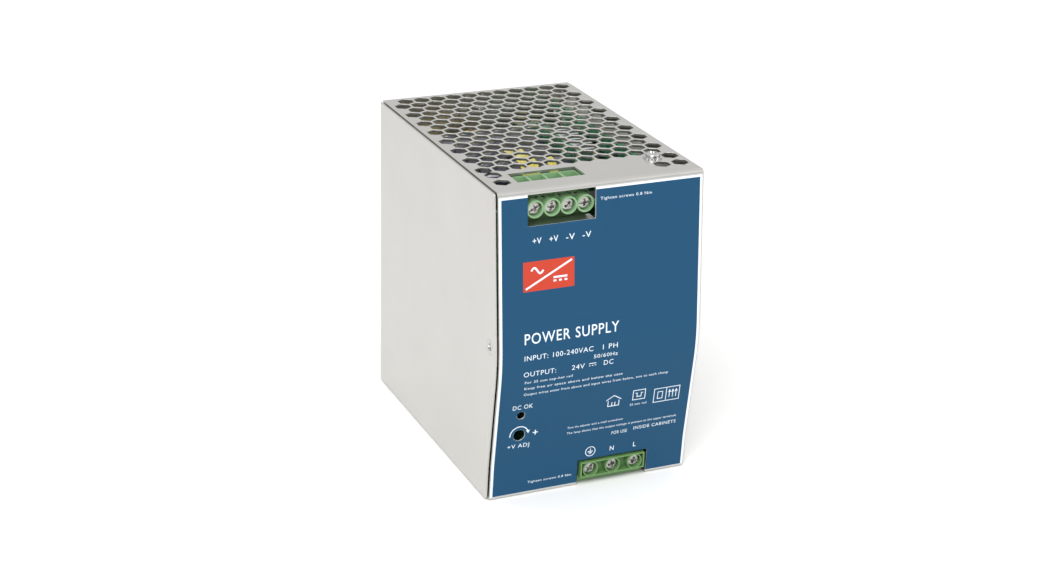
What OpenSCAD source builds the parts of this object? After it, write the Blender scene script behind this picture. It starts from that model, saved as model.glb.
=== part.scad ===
// DIN rail power supply, tall sheet-metal case with screw terminals on the front.
// Origin: middle of the footprint, on the surface it stands on. Front faces -Y, up is +Z.

/* [Case] */
// Width over the two side plates
case_w = 85.5; // [80:0.5:110]
// Height from the bottom plate to the top plate
case_h = 125.2; // [115:0.1:155]
// Depth from the crest of the bowed front to the tips of the rail hooks
total_d = 128.5; // [122:0.5:155]
// Sheet thickness of the front, top and bottom piece
chassis_t = 1.0; // [0.8:0.1:1.2]
// Sheet thickness of the side and back piece
cover_t = 0.8; // [0.6:0.1:1.0]
// Gap between the two bent pieces
shell_gap = 0.35; // [0.25:0.05:0.5]
// Outer radius of the bends between front, top and bottom
bend_r = 1.8; // [1.4:0.1:3]
// Outer radius of the bend between front and bottom
foot_bend_r = 1.2; // [1.1:0.1:1.8]
// How far the side plates' front edges sit behind the front's metal
side_setback = 1.3; // [1.1:0.1:2.2]

/* [Bowed front] */
// Height of the fold in the front
bow_z = 57.9; // [52:0.5:70]
// How far the fold's sharp corner stands ahead of the top edge
bow_depth = 5.1; // [3:0.1:6.5]
// Radius that rounds the fold
bow_r = 80; // [50:5:110]
// Height where the lower face turns steeper
foot_z = 14.2; // [12:0.2:18]
// How far that height sits behind the top edge
foot_back = 0.9; // [0.4:0.1:1.6]
// How far the bottom edge sits behind the top edge
bottom_back = 1.85; // [1.2:0.05:2.6]

/* [Ventilation] */
// Distance between the middles of neighbouring hexagons
vent_pitch = 7.0; // [7:0.1:8.4]
// Width of a hexagon across its flats
vent_af = 6.0; // [4.8:0.1:6.2]
// Hexagons in a row
vent_cols = 11; // [8:1:11]
// Rows in the top plate
vent_rows = 16; // [10:1:16]
// Rows in the bottom plate
vent_rows_bottom = 13; // [8:1:13]
// From the case's back to the middle of the last row
vent_back = 4.6; // [4.5:0.1:6]

/* [Output terminal] */
// Middle of the block from the case's middle
out_x = -16.4; // [-18:0.1:-14]
// Distance between neighbouring poles
out_pitch = 6.7; // [6.7:0.1:8.1]
// Screw axis below the top
out_drop = 8.1; // [8:0.1:10]
// Outer diameter of a screw well
out_well_d = 6.9; // [6.6:0.1:7.6]
// Width of the wire chamber in one pole
out_chamber_w = 5.7; // [5.5:0.05:5.8]
// Depth of the wire window in the top plate
out_window_d = 10; // [9.8:0.1:12]
// Front of that window behind the side plates' front edge
out_window_y = 7.5; // [7:0.1:8]
// Height of the notch in the front
out_notch_h = 13.8; // [13.5:0.1:17]
// Depth of the lip that is bent in below the notch
out_lip_d = 4.5; // [3:0.1:5]

/* [Input terminal] */
// Middle of the block from the case's middle
in_x = 9.9; // [8:0.1:12]
// Distance between neighbouring poles
in_pitch = 9.5; // [9.3:0.1:11.4]
// Screw axis above the bottom
in_rise = 6.7; // [6.6:0.1:8]
// Outer diameter of a screw well
in_well_d = 6.4; // [6.3:0.1:7]
// Width of the wire chamber in one pole
in_chamber_w = 7.6; // [6.4:0.1:8]
// Height of the notch in the front
in_notch_h = 11.1; // [11:0.1:14]

/* [Clamps] */
// Diameter of the clamp screws
screw_d = 3.0; // [2.5:0.1:3.4]
// Diameter of their heads
screw_head_d = 5.0; // [4.6:0.1:5.1]
// Radial clearance of a screw in its guide and its thread
screw_clear = 0.05; // [0.02:0.01:0.08]
// Travel of a clamp cage from open to closed
cage_travel = 4.1; // [3.6:0.1:4.2]
// Gap between a cage and its chamber
cage_gap = 0.15; // [0.1:0.01:0.2]
// Wall thickness of a cage
cage_t = 0.5; // [0.4:0.05:0.6]

/* [Adjuster and lamp] */
// Adjuster hole from the case's middle
trim_x = -31.2; // [-33:0.1:-29]
// Adjuster hole above the bottom
trim_z = 27.5; // [25:0.1:32]
// Diameter of the adjuster hole
trim_hole_d = 4.8; // [4:0.1:6]
// Lamp hole above the bottom
lamp_z = 36.3; // [35:0.1:42]
// Diameter of the lamp
lamp_d = 3.0; // [2:0.1:3.2]
// Radial clearance of the adjuster's rotor
rotor_clear = 0.06; // [0.03:0.01:0.08]

/* [Front label] */
// Thickness of the label
label_t = 0.2; // [0.1:0.05:0.3]
// Bare metal left beside the label
label_side = 0.2; // [0.1:0.1:1]
// Bare metal left below the label
label_foot = 1.4; // [1.3:0.1:3]

/* [Rail clip] */
// Height of the rail's middle above the bottom
rail_z = 64; // [62:0.5:72]
// Height of the standard top-hat rail
rail_h = 35; // [35:1:42]
// Thickness of the rail's edges
rail_t = 1.0; // [0.9:0.1:1.2]
// Play between the rail's edge and the hooks
rail_play = 0.3; // [0.2:0.05:0.4]
// How far the upper hooks reach down behind the rail's edge
hook_reach = 2.2; // [1.5:0.1:3]
// Width of the sliding latch
latch_w = 22; // [18:0.5:26]
// Travel of the latch
latch_travel = 4.0; // [3.5:0.1:4.4]
// How far the latch reaches up behind the rail's edge
latch_reach = 2.5; // [2:0.1:3]
// Thickness of the latch
latch_t = 1.2; // [1:0.05:1.25]
// Outer diameter of the latch spring
spring_d = 4.2; // [3.6:0.1:4.3]
// Diameter of the spring's wire
spring_wire = 0.6; // [0.5:0.05:0.7]
// Turns of the spring
spring_turns = 7; // [5:1:9]

/* [Boards] */
// Thickness of the circuit boards
pcb_t = 1.6; // [1.2:0.1:2]
// Component face of the main board from the right plate's outer face
main_board_in = 10.05; // [9.5:0.05:11]
// Front board's front face behind the side plates' front edge
front_board_y = 19; // [18.6:0.1:21]
// Clearance of the main board to the front, back, top and bottom
board_margin = 6; // [5:0.5:8]

/* [Power parts] */
// Diameter of the two mains capacitors
bulk_cap_d = 30; // [25:0.5:30]
// Length of the two mains capacitors
bulk_cap_l = 58; // [48:1:62]
// Diameter of the output capacitors
out_cap_d = 13; // [10:0.5:13]
// Length of the output capacitors
out_cap_l = 39; // [30:1:40]
// Thickness of the primary heatsink
heatsink_t = 3; // [2:0.1:3.2]
// Primary heatsink's front face behind the side plates' front edge
heatsink_y = 87.1; // [86.8:0.1:88]
// Length of the transformer along the winding
transformer_l = 48; // [44:1:48]
// Depth of the transformer's core
transformer_d = 24; // [20:1:24]
// Height of the transformer's core
transformer_h = 44; // [40:1:44]

/* [Hidden] */
$fn = 48;
eps = 0.01;

// overall places
hook_t = 1.3;
back_y = total_d / 2 - hook_t - rail_play - rail_t;
chassis_w = case_w - 2 * (cover_t + shell_gap);

// the front's outline, side view, corner by corner from the top's back edge to the bottom's back edge
bow_corner = [-bow_depth, bow_z];
foot_corner = [foot_back, foot_z];
bow_arc = fillet([0, case_h], bow_corner, foot_corner, bow_r, 10);
crest = min([for (p = bow_arc) p.x]);
panel_y = -total_d / 2 + label_t - crest;
side_y = panel_y + side_setback;
corners = [
    [back_y, case_h], [panel_y, case_h], bow_corner + [panel_y, 0],
    foot_corner + [panel_y, 0], [panel_y + bottom_back, 0], [back_y, 0]
];
corner_radii = [0, bend_r, bow_r, 60, foot_bend_r, 0];
corner_steps = [0, 6, 10, 4, 5, 0];
outline = rounded(corners, corner_radii, corner_steps);
rear_overlap = 0.2;

// terminal blocks, measured back from the side plates' front edge
rim_y = -0.8;
well_floor = 2.7;
guide_t = 0.8;
nut_t = 1.5;
contact_y = 9.2;
contact_t = 0.8;
contact_w = 4.0;
nut_gap = 0.1;
wire_y = contact_y + contact_t;
wire_gap = cage_travel + 0.3;
cage_back_t = 1.2;
chamber_back = wire_y + wire_gap + cage_back_t + 0.3;
block_back = chamber_back + 1.5;
cage_h = 6;
out_poles = 4;
in_poles = 3;
out_z = case_h - out_drop;
out_block_w = out_poles * out_pitch;
out_block_top = case_h - chassis_t - 0.3;
out_block_foot = out_z - 13;
out_window_w = out_block_w + 0.4;
in_block_w = in_poles * in_pitch - 0.9;
in_block_foot = 0.8;
in_block_top = in_rise + 10.5;
wire_depth = 7;
in_notch_w = in_block_w + 2.4;
out_pin_z = out_block_foot + 3.2;
in_pin_z = in_block_top - 2;
well_bore_d = screw_head_d + 0.5;

// boards
board_x = case_w / 2 - main_board_in;
board_back = back_y - cover_t - 3;
cover_in = case_w / 2 - cover_t;
front_board_top = out_block_foot + 6;
front_board_left = -chassis_w / 2 + 4;
heatsink_left = -chassis_w / 2 + 3.6;

// clip
latch_gap = 0.1;
latch_y = back_y + latch_gap;
latch_foot = 5.2;
rail_low = rail_z - rail_h / 2;
rail_high = rail_z + rail_h / 2;
spring_z = 20;
spring_l = 16;
spring_slot_w = spring_d + 0.5;
strap_zs = [15, 38.3];
strap_t = 1.0;
strap_h = 3.8;

// ---------- shared geometry ----------

function unit(v) = v / norm(v);

// points of the arc of radius r that rounds the corner b between a and c
function fillet(a, b, c, r, steps) =
    let (u = unit(a - b), v = unit(c - b), half = acos(u * v) / 2,
         middle = b + unit(u + v) * r / sin(half),
         from = b + u * r / tan(half) - middle, to = b + v * r / tan(half) - middle,
         start = atan2(from.y, from.x), turn = atan2(to.y, to.x) - start,
         sweep = turn > 180 ? turn - 360 : turn < -180 ? turn + 360 : turn)
    [for (i = [0:steps]) middle + r * [cos(start + sweep * i / steps), sin(start + sweep * i / steps)]];

// an open path with its inner corners rounded
function rounded(path, radii, steps) =
    [for (i = [0:len(path) - 1])
        each (i == 0 || i == len(path) - 1) ? [path[i]]
            : fillet(path[i - 1], path[i], path[i + 1], radii[i], steps[i])];

function left_of(a, b) = let (d = unit(b - a)) [-d.y, d.x];

// the same open path moved sideways by d, to the left of its direction
function shifted(path, d) =
    [for (i = [0:len(path) - 1])
        let (n1 = left_of(path[max(i - 1, 0)], path[max(i, 1)]),
             n2 = left_of(path[min(i, len(path) - 2)], path[min(i + 1, len(path) - 1)]))
        path[i] + d * (n1 + n2) / (1 + n1 * n2)];

function backwards(path) = [for (i = [len(path) - 1:-1:0]) path[i]];

// a side-view shape given a width across the case
module across(w, x = 0) {
    translate([x, 0, 0]) rotate([90, 0, 90]) linear_extrude(height = w, center = true) children();
}

module box(x, y, z) {
    translate([x[0], y[0], z[0]]) cube([x[1] - x[0], y[1] - y[0], z[1] - z[0]]);
}

// the span of a width w about a middle
function about(middle, w) = [middle - w / 2, middle + w / 2];

// a cylinder along Y from y0 to y1
module rod_y(d, x, z, y0, y1) {
    translate([x, y0, z]) rotate([-90, 0, 0]) cylinder(h = y1 - y0, d = d);
}

// a cylinder along X from x0 to x1
module rod_x(d, x0, x1, y, z) {
    translate([x0, y, z]) rotate([0, 90, 0]) cylinder(h = x1 - x0, d = d);
}

module ring_2d(outer_d, inner_d) {
    difference() {
        circle(d = outer_d);
        circle(d = inner_d);
    }
}

// ---------- case ----------

hex_d = vent_af / cos(30);
vent_row_step = vent_pitch * sin(60);
vent_last_y = back_y - vent_back;
screw_top = [chassis_w / 2 - 11.8, side_y + 17];

module hexagon(p) {
    translate(p) rotate(30) circle(d = hex_d, $fn = 6);
}

// hexagons that fit between the plate's edges, and rows that fit behind the terminal blocks
vent_rim = 0.8;
vent_front_y = side_y + out_window_y + out_window_d + vent_rim + hex_d / 2;
cols_fit = min(vent_cols, floor((chassis_w - 2 * vent_rim - vent_af) / vent_pitch + 0.5));
rows_fit = floor((vent_last_y - vent_front_y) / vent_row_step) + 1;

// rows run across the case; the last row is nearest the back
module vent_field(rows) {
    for (row = [0:min(rows, rows_fit) - 1], col = [0:cols_fit - 1])
        hexagon([
            (col - (cols_fit - 1) / 2) * vent_pitch + (row % 2 == 0 ? 1 : -1) * vent_pitch / 4,
            vent_last_y - row * vent_row_step
        ]);
}

module top_holes() {
    vent_field(vent_rows);
    for (p = [[-35.5, 17.8], [-35.5, 9.4], [37.3, 17.4], [29.7, 9], [37.3, 9]])
        hexagon([sign(p.x) * (chassis_w / 2 - (41.6 - abs(p.x))), side_y + p.y]);
    translate(screw_top) circle(d = 3.2);
}

module front_window_cuts() {
    box(about(out_x, out_window_w), [-total_d, side_y + 4], [case_h - out_notch_h, case_h - 2]);
    box(about(out_x, out_window_w),
        [side_y + out_window_y, side_y + out_window_y + out_window_d], [case_h - 3, case_h + 1]);
    box(about(in_x, in_notch_w), [-total_d, side_y + block_back + 0.6], [-1, in_notch_h]);
}

module panel_hole(d, z) {
    rod_y(d, trim_x, z, -total_d, side_y + 4);
}

screw_z = bow_z + 6.5;
screw_side_y = panel_y - bow_depth + 7.2;
screw_rear_zs = [7, case_h - 7];

// countersunk screw, its axis along Z and its flat head at z = 0
module countersunk(d, head_d, length) {
    mirror([0, 0, 1]) {
        cylinder(h = (head_d - d) / 2, d1 = head_d, d2 = d);
        cylinder(h = length, d = d);
    }
}

module side_screw_place(side) {
    translate([side * case_w / 2, screw_side_y, screw_z]) rotate([0, side * 90, 0]) children();
}

module rear_screw_place(z) {
    translate([0, back_y, z]) rotate([-90, 0, 0]) children();
}

module case_screw_places() {
    for (side = [-1, 1])
        side_screw_place(side) children();
    for (z = screw_rear_zs)
        rear_screw_place(z) children();
}

module front_chassis() color([0.80, 0.80, 0.77]) {
    tab = 12;
    difference() {
        union() {
            across(chassis_w) polygon(concat(outline, backwards(shifted(outline, chassis_t))));
            // lip below the output notch
            box(about(out_x, out_window_w), [panel_y - 0.6, panel_y + out_lip_d],
                [case_h - out_notch_h - chassis_t, case_h - out_notch_h]);
            // ears behind the front for the side screws
            for (side = [-1, 1])
                box(about(side * (chassis_w - chassis_t) / 2, chassis_t),
                    [panel_y - bow_depth + 1.1, screw_side_y + 4], about(screw_z, tab));
            // ears at the back for the rear screws
            for (z = [[chassis_t / 2, tab], [case_h - tab, case_h - chassis_t / 2]])
                box([-8, 8], [back_y - cover_t - rear_overlap - chassis_t,
                    back_y - cover_t - rear_overlap], z);
        }
        translate([0, 0, case_h - 2 * chassis_t]) linear_extrude(height = 3 * chassis_t) top_holes();
        translate([0, 0, -chassis_t]) linear_extrude(height = 2.5 * chassis_t)
            vent_field(vent_rows_bottom);
        front_window_cuts();
        panel_hole(trim_hole_d, trim_z);
        panel_hole(lamp_d + 0.3, lamp_z);
        case_screw_places() countersunk(screw_d + 0.2, 6.2, 8);
    }
}

// the side plates follow the front's line, moved in
cover_low = 0.6;
cover_high = case_h - 0.6;
side_corners = shifted(corners, side_setback);
side_outline = rounded([
    [back_y, cover_high], [side_corners[1].x, cover_high], side_corners[2],
    side_corners[3], [side_corners[4].x, cover_low], [back_y, cover_low]
], [0, 1.2, bow_r, 60, 0.6, 0], corner_steps);
spring_slot = [back_y - cover_t - 1, back_y + 1];

module rear_cover() color([0.78, 0.77, 0.75]) {
    difference() {
        union() {
            for (side = [-1, 1])
                across(cover_t, side * (case_w - cover_t) / 2) polygon(side_outline);
            box([-case_w / 2, case_w / 2], [back_y - cover_t, back_y],
                [chassis_t + 0.2, case_h - chassis_t - 0.2]);
        }
        case_screw_places() countersunk(screw_d + 0.2, 6.2, 8);
        for (side = [-1, 1])
            box(about(side * hook_x, hook_w + 0.4), spring_slot,
                [rail_high + 0.1, rail_high + 0.3 + hook_t + 0.3]);
        box(about(0, spring_slot_w), spring_slot, [spring_z, spring_z + spring_l]);
        for (p = rivet_places)
            rod_y(rivet_d, p.x, p.y, back_y - cover_t - 1, back_y + 1);
        // upright corners of the bent sheet, rounded off
        for (side = [-1, 1])
            translate([side * (case_w / 2 - corner_r), back_y - corner_r, -1])
                rotate(side > 0 ? 0 : 90) linear_extrude(height = case_h + 2) difference() {
                    square(corner_r + 1);
                    circle(r = corner_r);
                }
    }
}

corner_r = 1.0;

// the label follows the bent front
label_path = [for (p = outline)
    if (p.y > label_foot && p.y < case_h - bend_r - 0.15 && p.x < side_y + 10) p];
label_ends = concat([on_line(case_h - bend_r - 0.1)], label_path, [on_line(label_foot)]);

// point of the outline at a height near its top or its bottom, where it is straight
function on_line(z) =
    let (pair = z > bow_z ? [corners[1], corners[2]] : [corners[3], corners[4]],
         share = (z - pair[0].y) / (pair[1].y - pair[0].y))
    pair[0] + share * (pair[1] - pair[0]);

module front_label() color([0.16, 0.33, 0.47]) {
    difference() {
        across(chassis_w - 2 * label_side)
            polygon(concat(shifted(label_ends, -label_t), backwards(label_ends)));
        front_window_cuts();
        panel_hole(trim_hole_d, trim_z);
        panel_hole(lamp_d + 0.3, lamp_z);
    }
}

module case_screws() color([0.75, 0.75, 0.77]) {
    case_screw_places() countersunk(screw_d, 6, 6);
}

module top_screw() color([0.82, 0.82, 0.84]) {
    washer_top = case_h + 0.5;
    translate([screw_top.x, screw_top.y, washer_top]) {
        difference() {
            cylinder(h = 1.7, d = 5.6);
            for (turn = [0, 90])
                rotate(turn) translate([-1.6, -0.4, 0.7]) cube([3.2, 0.8, 2]);
        }
        translate([0, 0, -8]) cylinder(h = 8 + eps, d = screw_d);
    }
}

module top_washer() color([0.7, 0.7, 0.7]) {
    translate([screw_top.x, screw_top.y, case_h]) linear_extrude(height = 0.5) difference() {
        circle(d = 7.4);
        circle(d = 3.2);
        for (turn = [0:30:330])
            rotate(turn) translate([3.7, 0]) circle(d = 0.9, $fn = 4);
    }
}

// ---------- rail clip ----------

hook_x = 15;
hook_w = 10;
bracket_t = 1.2;
bracket_y = back_y - cover_t - bracket_t;
rivet_d = 3;
bracket_rivets = [for (x = [-24, 24], z = [rail_high + 8, rail_high + 20]) [x, z]];
strap_rivets = [for (side = [-1, 1], z = strap_zs) [side * (latch_w / 2 + 4), z]];
rivet_places = concat(bracket_rivets, strap_rivets);

module rail_bracket() color([0.72, 0.72, 0.74]) {
    z0 = rail_high + 0.3;
    difference() {
        union() {
            box([-30, 30], [bracket_y, back_y - cover_t], [z0, rail_high + 26]);
            for (side = [-1, 1])
                across(hook_w, side * hook_x) polygon([
                    [bracket_y, z0], [total_d / 2 - hook_t, z0],
                        [total_d / 2 - hook_t, rail_high - hook_reach],
                    [total_d / 2 - 0.5, rail_high - hook_reach - 0.4],
                        [total_d / 2, rail_high - hook_reach],
                    [total_d / 2, z0 + hook_t - 0.8], [total_d / 2 - 0.8, z0 + hook_t],
                        [bracket_y, z0 + hook_t]
                ]);
        }
        for (p = bracket_rivets)
            rod_y(rivet_d, p.x, p.y, bracket_y - 1, back_y);
    }
}

module rail_latch() color([0.74, 0.74, 0.76]) {
    y1 = latch_y + latch_t;
    stop_z = rail_low - 0.2;
    difference() {
        across(latch_w) polygon([
            [latch_y, latch_foot], [y1, latch_foot], [y1, stop_z - 1.7], [total_d / 2, stop_z - 0.7],
            [total_d / 2, rail_low + latch_reach - 0.6], [total_d / 2 - 0.6, rail_low + latch_reach],
            [back_y + rail_t + rail_play, rail_low + latch_reach],
                [back_y + rail_t + rail_play, stop_z], [latch_y, stop_z]
        ]);
        box(about(0, spring_slot_w), [back_y - 1, back_y + 4], [spring_z, spring_z + spring_l]);
        // slot for a screwdriver
        box([-4, 4], [back_y - 1, back_y + 4], [latch_foot + 2, latch_foot + 5.5]);
        for (side = [-1, 1])
            translate([side * latch_w / 2, 0, latch_foot]) rotate([0, 45, 0])
                translate([-2, back_y - 1, -2]) cube([4, 5, 4]);
    }
}

// a wire of the given radius wound round the Z axis, as one closed skin
module coil(r, wire_r, turns, height, per_turn = 14, sides = 6) {
    rings = turns * per_turn;
    points = [for (i = [0:rings], j = [0:sides - 1])
        let (a = 360 * i / per_turn, b = 360 * j / sides, d = r + wire_r * cos(b))
        [d * cos(a), d * sin(a), height * i / rings + wire_r * sin(b)]];
    skin = [for (i = [0:rings - 1], j = [0:sides - 1])
        let (k = (j + 1) % sides)
        [i * sides + j, (i + 1) * sides + j, (i + 1) * sides + k, i * sides + k]];
    first_end = [for (j = [0:sides - 1]) j];
    last_end = [for (j = [sides - 1:-1:0]) rings * sides + j];
    polyhedron(points, concat(skin, [first_end, last_end]));
}

module latch_spring() color([0.8, 0.8, 0.82]) {
    wire_r = spring_wire / 2;
    translate([0, back_y + latch_gap / 2 + 0.1, spring_z + wire_r + 0.1])
        coil(spring_d / 2 - wire_r, wire_r, spring_turns, spring_l - spring_wire - 0.2);
}

// bridges that hold the latch to the case's back
module latch_straps() color([0.7, 0.7, 0.72]) {
    y1 = latch_y + latch_t + latch_gap;
    inner = latch_w / 2 + 0.3;
    outer = latch_w / 2 + 7;
    for (z = strap_zs)
        difference() {
            union() {
                box([-inner - strap_t, inner + strap_t], [y1, y1 + strap_t], about(z, strap_h));
                for (side = [-1, 1])
                    box(about(side * (inner + outer) / 2, outer - inner), [back_y, back_y + strap_t],
                        about(z, strap_h));
                for (side = [-1, 1])
                    box(about(side * (inner + strap_t / 2), strap_t), [back_y, y1 + strap_t],
                        about(z, strap_h));
            }
            for (side = [-1, 1])
                rod_y(rivet_d, side * (latch_w / 2 + 4), z, back_y - 1, back_y + 4);
        }
}

module clip_rivets() color([0.85, 0.85, 0.86]) {
    for (p = bracket_rivets) {
        rod_y(rivet_d, p.x, p.y, bracket_y - 0.9, back_y);
        rod_y(5, p.x, p.y, back_y, back_y + 0.9);
        rod_y(4.4, p.x, p.y, bracket_y - 0.9, bracket_y);
    }
    for (p = strap_rivets) {
        rod_y(rivet_d, p.x, p.y, back_y - cover_t - 0.9, back_y + strap_t);
        rod_y(4.6, p.x, p.y, back_y + strap_t, back_y + strap_t + 0.9);
        rod_y(4.4, p.x, p.y, back_y - cover_t - 0.9, back_y - cover_t);
    }
}

// ---------- clamp terminals ----------

function pole_x(middle, pitch, poles, i) = middle + (i - (poles - 1) / 2) * pitch;

// what is cut out of a block for one pole; up is +1 where the wire enters from above
module pole_cuts(x, z, chamber_w, entry_z, up) {
    low = min(z - up * wire_depth, entry_z);
    high = max(z - up * wire_depth, entry_z);
    rod_y(well_bore_d, x, z, side_y + rim_y - 1, side_y + well_floor);
    rod_y(screw_d + 2 * screw_clear, x, z, side_y + well_floor - 1, side_y + well_floor + 2);
    // the cage's room
    box(about(x, chamber_w), [side_y + well_floor + guide_t, side_y + chamber_back],
        about(z, cage_h + 0.4));
    // the wire's way
    box(about(x, chamber_w), [side_y + wire_y - 0.1, side_y + chamber_back], [low, high]);
    // the contact's slot
    box(about(x, contact_w + 0.2), [side_y + contact_y - 0.05, side_y + wire_y], about(z, 9.2));
}

// funnel at the mouth of a wire chamber
module funnel(x, chamber_w, mouth_z, up) {
    y0 = side_y + wire_y - 0.1;
    y1 = side_y + chamber_back;
    across(chamber_w, x) polygon([
        [y0, mouth_z - up * 2.4], [y0 - 1.3, mouth_z + up], [y1 + 0.9, mouth_z + up],
            [y1, mouth_z - up * 2.4]
    ]);
}

module output_terminal_housing() color([0.50, 0.72, 0.48]) {
    difference() {
        union() {
            across(out_block_w, out_x) polygon([
                [side_y + 7.4, out_block_top], [side_y + 3, out_z + 2.4],
                    [side_y + 3, out_z - out_well_d / 2 + 0.4],
                [side_y + 6.2, out_z - out_well_d / 2 - 1.4], [side_y + 6.2, out_block_foot],
                [side_y + block_back, out_block_foot], [side_y + block_back, out_block_top]
            ]);
            for (i = [0:out_poles - 1])
                rod_y(out_well_d, pole_x(out_x, out_pitch, out_poles, i), out_z, side_y + rim_y,
                    side_y + 5);
        }
        for (i = [0:out_poles - 1]) {
            x = pole_x(out_x, out_pitch, out_poles, i);
            pole_cuts(x, out_z, out_chamber_w, out_block_top + 1, 1);
            funnel(x, out_chamber_w, out_block_top, 1);
            box(about(x, 2), [side_y + contact_y - 0.05, side_y + block_back + 1],
                about(out_pin_z, 1.2));
            box(about(x, contact_w + 0.2), [side_y + contact_y - 0.05, side_y + wire_y + 0.05],
                [out_pin_z - 0.6, out_z]);
        }
    }
}

module input_terminal_housing() color([0.45, 0.68, 0.42]) {
    rim_h = in_well_d + 0.2;
    difference() {
        union() {
            box(about(in_x, in_block_w), [side_y + 2.2, side_y + block_back],
                [in_block_foot, in_block_top]);
            difference() {
                box(about(in_x, in_block_w), [side_y + rim_y, side_y + 4], about(in_rise, rim_h));
                box(about(in_x, in_block_w - 1.2), [side_y + rim_y - 1, side_y + 2.2],
                    about(in_rise, rim_h - 1.1));
            }
            for (i = [0:in_poles - 1])
                rod_y(in_well_d, pole_x(in_x, in_pitch, in_poles, i), in_rise, side_y + rim_y,
                    side_y + 4);
        }
        for (i = [0:in_poles - 1]) {
            x = pole_x(in_x, in_pitch, in_poles, i);
            pole_cuts(x, in_rise, in_chamber_w, in_block_foot - 1, -1);
            funnel(x, in_chamber_w, in_block_foot, -1);
            box(about(x, 2), [side_y + contact_y - 0.05, side_y + block_back + 1],
                about(in_pin_z, 1.2));
            box(about(x, contact_w + 0.2), [side_y + contact_y - 0.05, side_y + wire_y + 0.05],
                [in_rise, in_pin_z + 0.6]);
        }
    }
}

// one contact: an upright strip that the screw's tip bears on, and a pin to the front board
module contact(x, z, pin_z) {
    strip = [min(pin_z - 0.5, z - 4.4), max(pin_z + 0.5, z + 4.4)];
    box(about(x, contact_w), [side_y + contact_y, side_y + wire_y], strip);
    box(about(x, 1.6), [side_y + wire_y - eps, side_y + front_board_y + pcb_t + 1.2], about(pin_z, 1));
}

module output_contacts() color([0.78, 0.74, 0.6]) {
    for (i = [0:out_poles - 1])
        contact(pole_x(out_x, out_pitch, out_poles, i), out_z, out_pin_z);
}

module input_contacts() color([0.78, 0.74, 0.6]) {
    for (i = [0:in_poles - 1])
        contact(pole_x(in_x, in_pitch, in_poles, i), in_rise, in_pin_z);
}

// a captive clamp screw with a cross recess and a slot, its tip close to the contact
module clamp_screw(x, z) color([0.75, 0.75, 0.74]) {
    head_y = side_y + well_floor - 2.2;
    difference() {
        union() {
            rod_y(screw_head_d, x, z, head_y, side_y + well_floor - 0.05);
            rod_y(screw_d, x, z, head_y + 0.5, side_y + contact_y - 0.05);
        }
        for (turn = [20, 110])
            translate([x, head_y, z]) rotate([0, turn, 0]) translate([-1.7, -1, -0.35])
                cube([3.4, 2.2, 0.7]);
    }
}

// a rectangular cage round the contact and the wire; the screw runs through its front wall
module clamp_cage(x, z, chamber_w) color([0.8, 0.78, 0.7]) {
    w = chamber_w - 2 * cage_gap;
    front = side_y + contact_y - nut_gap - nut_t;
    back = side_y + wire_y + wire_gap;
    difference() {
        box(about(x, w), [front, back + cage_back_t], about(z, cage_h));
        box(about(x, w - 2 * cage_t), [front + nut_t, back], about(z, 2 * cage_h));
        rod_y(screw_d + 2 * screw_clear, x, z, front - 1, front + nut_t + 1);
    }
}

module output_screw(i) clamp_screw(pole_x(out_x, out_pitch, out_poles, i), out_z);
module output_cage(i) clamp_cage(pole_x(out_x, out_pitch, out_poles, i), out_z, out_chamber_w);
module input_screw(i) clamp_screw(pole_x(in_x, in_pitch, in_poles, i), in_rise);
module input_cage(i) clamp_cage(pole_x(in_x, in_pitch, in_poles, i), in_rise, in_chamber_w);

// ---------- adjuster and lamp ----------

rotor_d = 3.4;
rotor_slot_w = 0.7;
adjuster_y = 9.5;
adjuster_w = 6.8;

module adjuster_body() color([0.2, 0.35, 0.6]) {
    difference() {
        box(about(trim_x, adjuster_w), [side_y + adjuster_y, side_y + front_board_y],
            about(trim_z, adjuster_w));
        rod_y(rotor_d + 2 * rotor_clear, trim_x, trim_z, side_y + adjuster_y - 1,
            side_y + adjuster_y + 4);
    }
}

module adjuster_rotor() color([0.85, 0.75, 0.45]) {
    difference() {
        rod_y(rotor_d, trim_x, trim_z, side_y + adjuster_y - 0.8, side_y + adjuster_y + 3.9);
        box(about(trim_x, rotor_slot_w), [side_y + adjuster_y - 2, side_y + adjuster_y + 0.2],
            about(trim_z, 6));
    }
}

module status_lamp() color([0.35, 0.75, 0.4]) {
    tip = 3.2;
    translate([trim_x, side_y + tip, lamp_z]) rotate([-90, 0, 0]) {
        sphere(d = lamp_d);
        cylinder(h = 3.4, d = lamp_d);
        translate([0, 0, 3.3]) cylinder(h = 1, d = lamp_d + 0.8);
    }
    for (dx = [-0.9, 0.9])
        box(about(trim_x + dx, 0.5), [side_y + tip + 4.2, side_y + front_board_y], about(lamp_z, 0.5));
}

// ---------- boards ----------

board_low = board_margin;
board_high = case_h - board_margin;
board_front = side_y + board_margin;
standoff_places = [for (y = [board_front + 5, board_back - 5], z = [board_low + 5, board_high - 5]) [y,
    z]];

module main_board() color([0.12, 0.36, 0.18]) {
    difference() {
        box([board_x, board_x + pcb_t], [board_front, board_back], [board_low, board_high]);
        for (p = standoff_places)
            rod_x(3.2, board_x - 1, board_x + pcb_t + 1, p.x, p.y);
    }
}

module front_board() color([0.13, 0.38, 0.2]) {
    y = side_y + front_board_y;
    difference() {
        box([front_board_left, board_x - 0.6], [y, y + pcb_t], [4, front_board_top]);
        for (i = [0:out_poles - 1])
            rod_y(pin_hole_d, pole_x(out_x, out_pitch, out_poles, i), out_pin_z, y - 1, y + pcb_t + 1);
        for (i = [0:in_poles - 1])
            rod_y(pin_hole_d, pole_x(in_x, in_pitch, in_poles, i), in_pin_z, y - 1, y + pcb_t + 1);
    }
}

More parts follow.
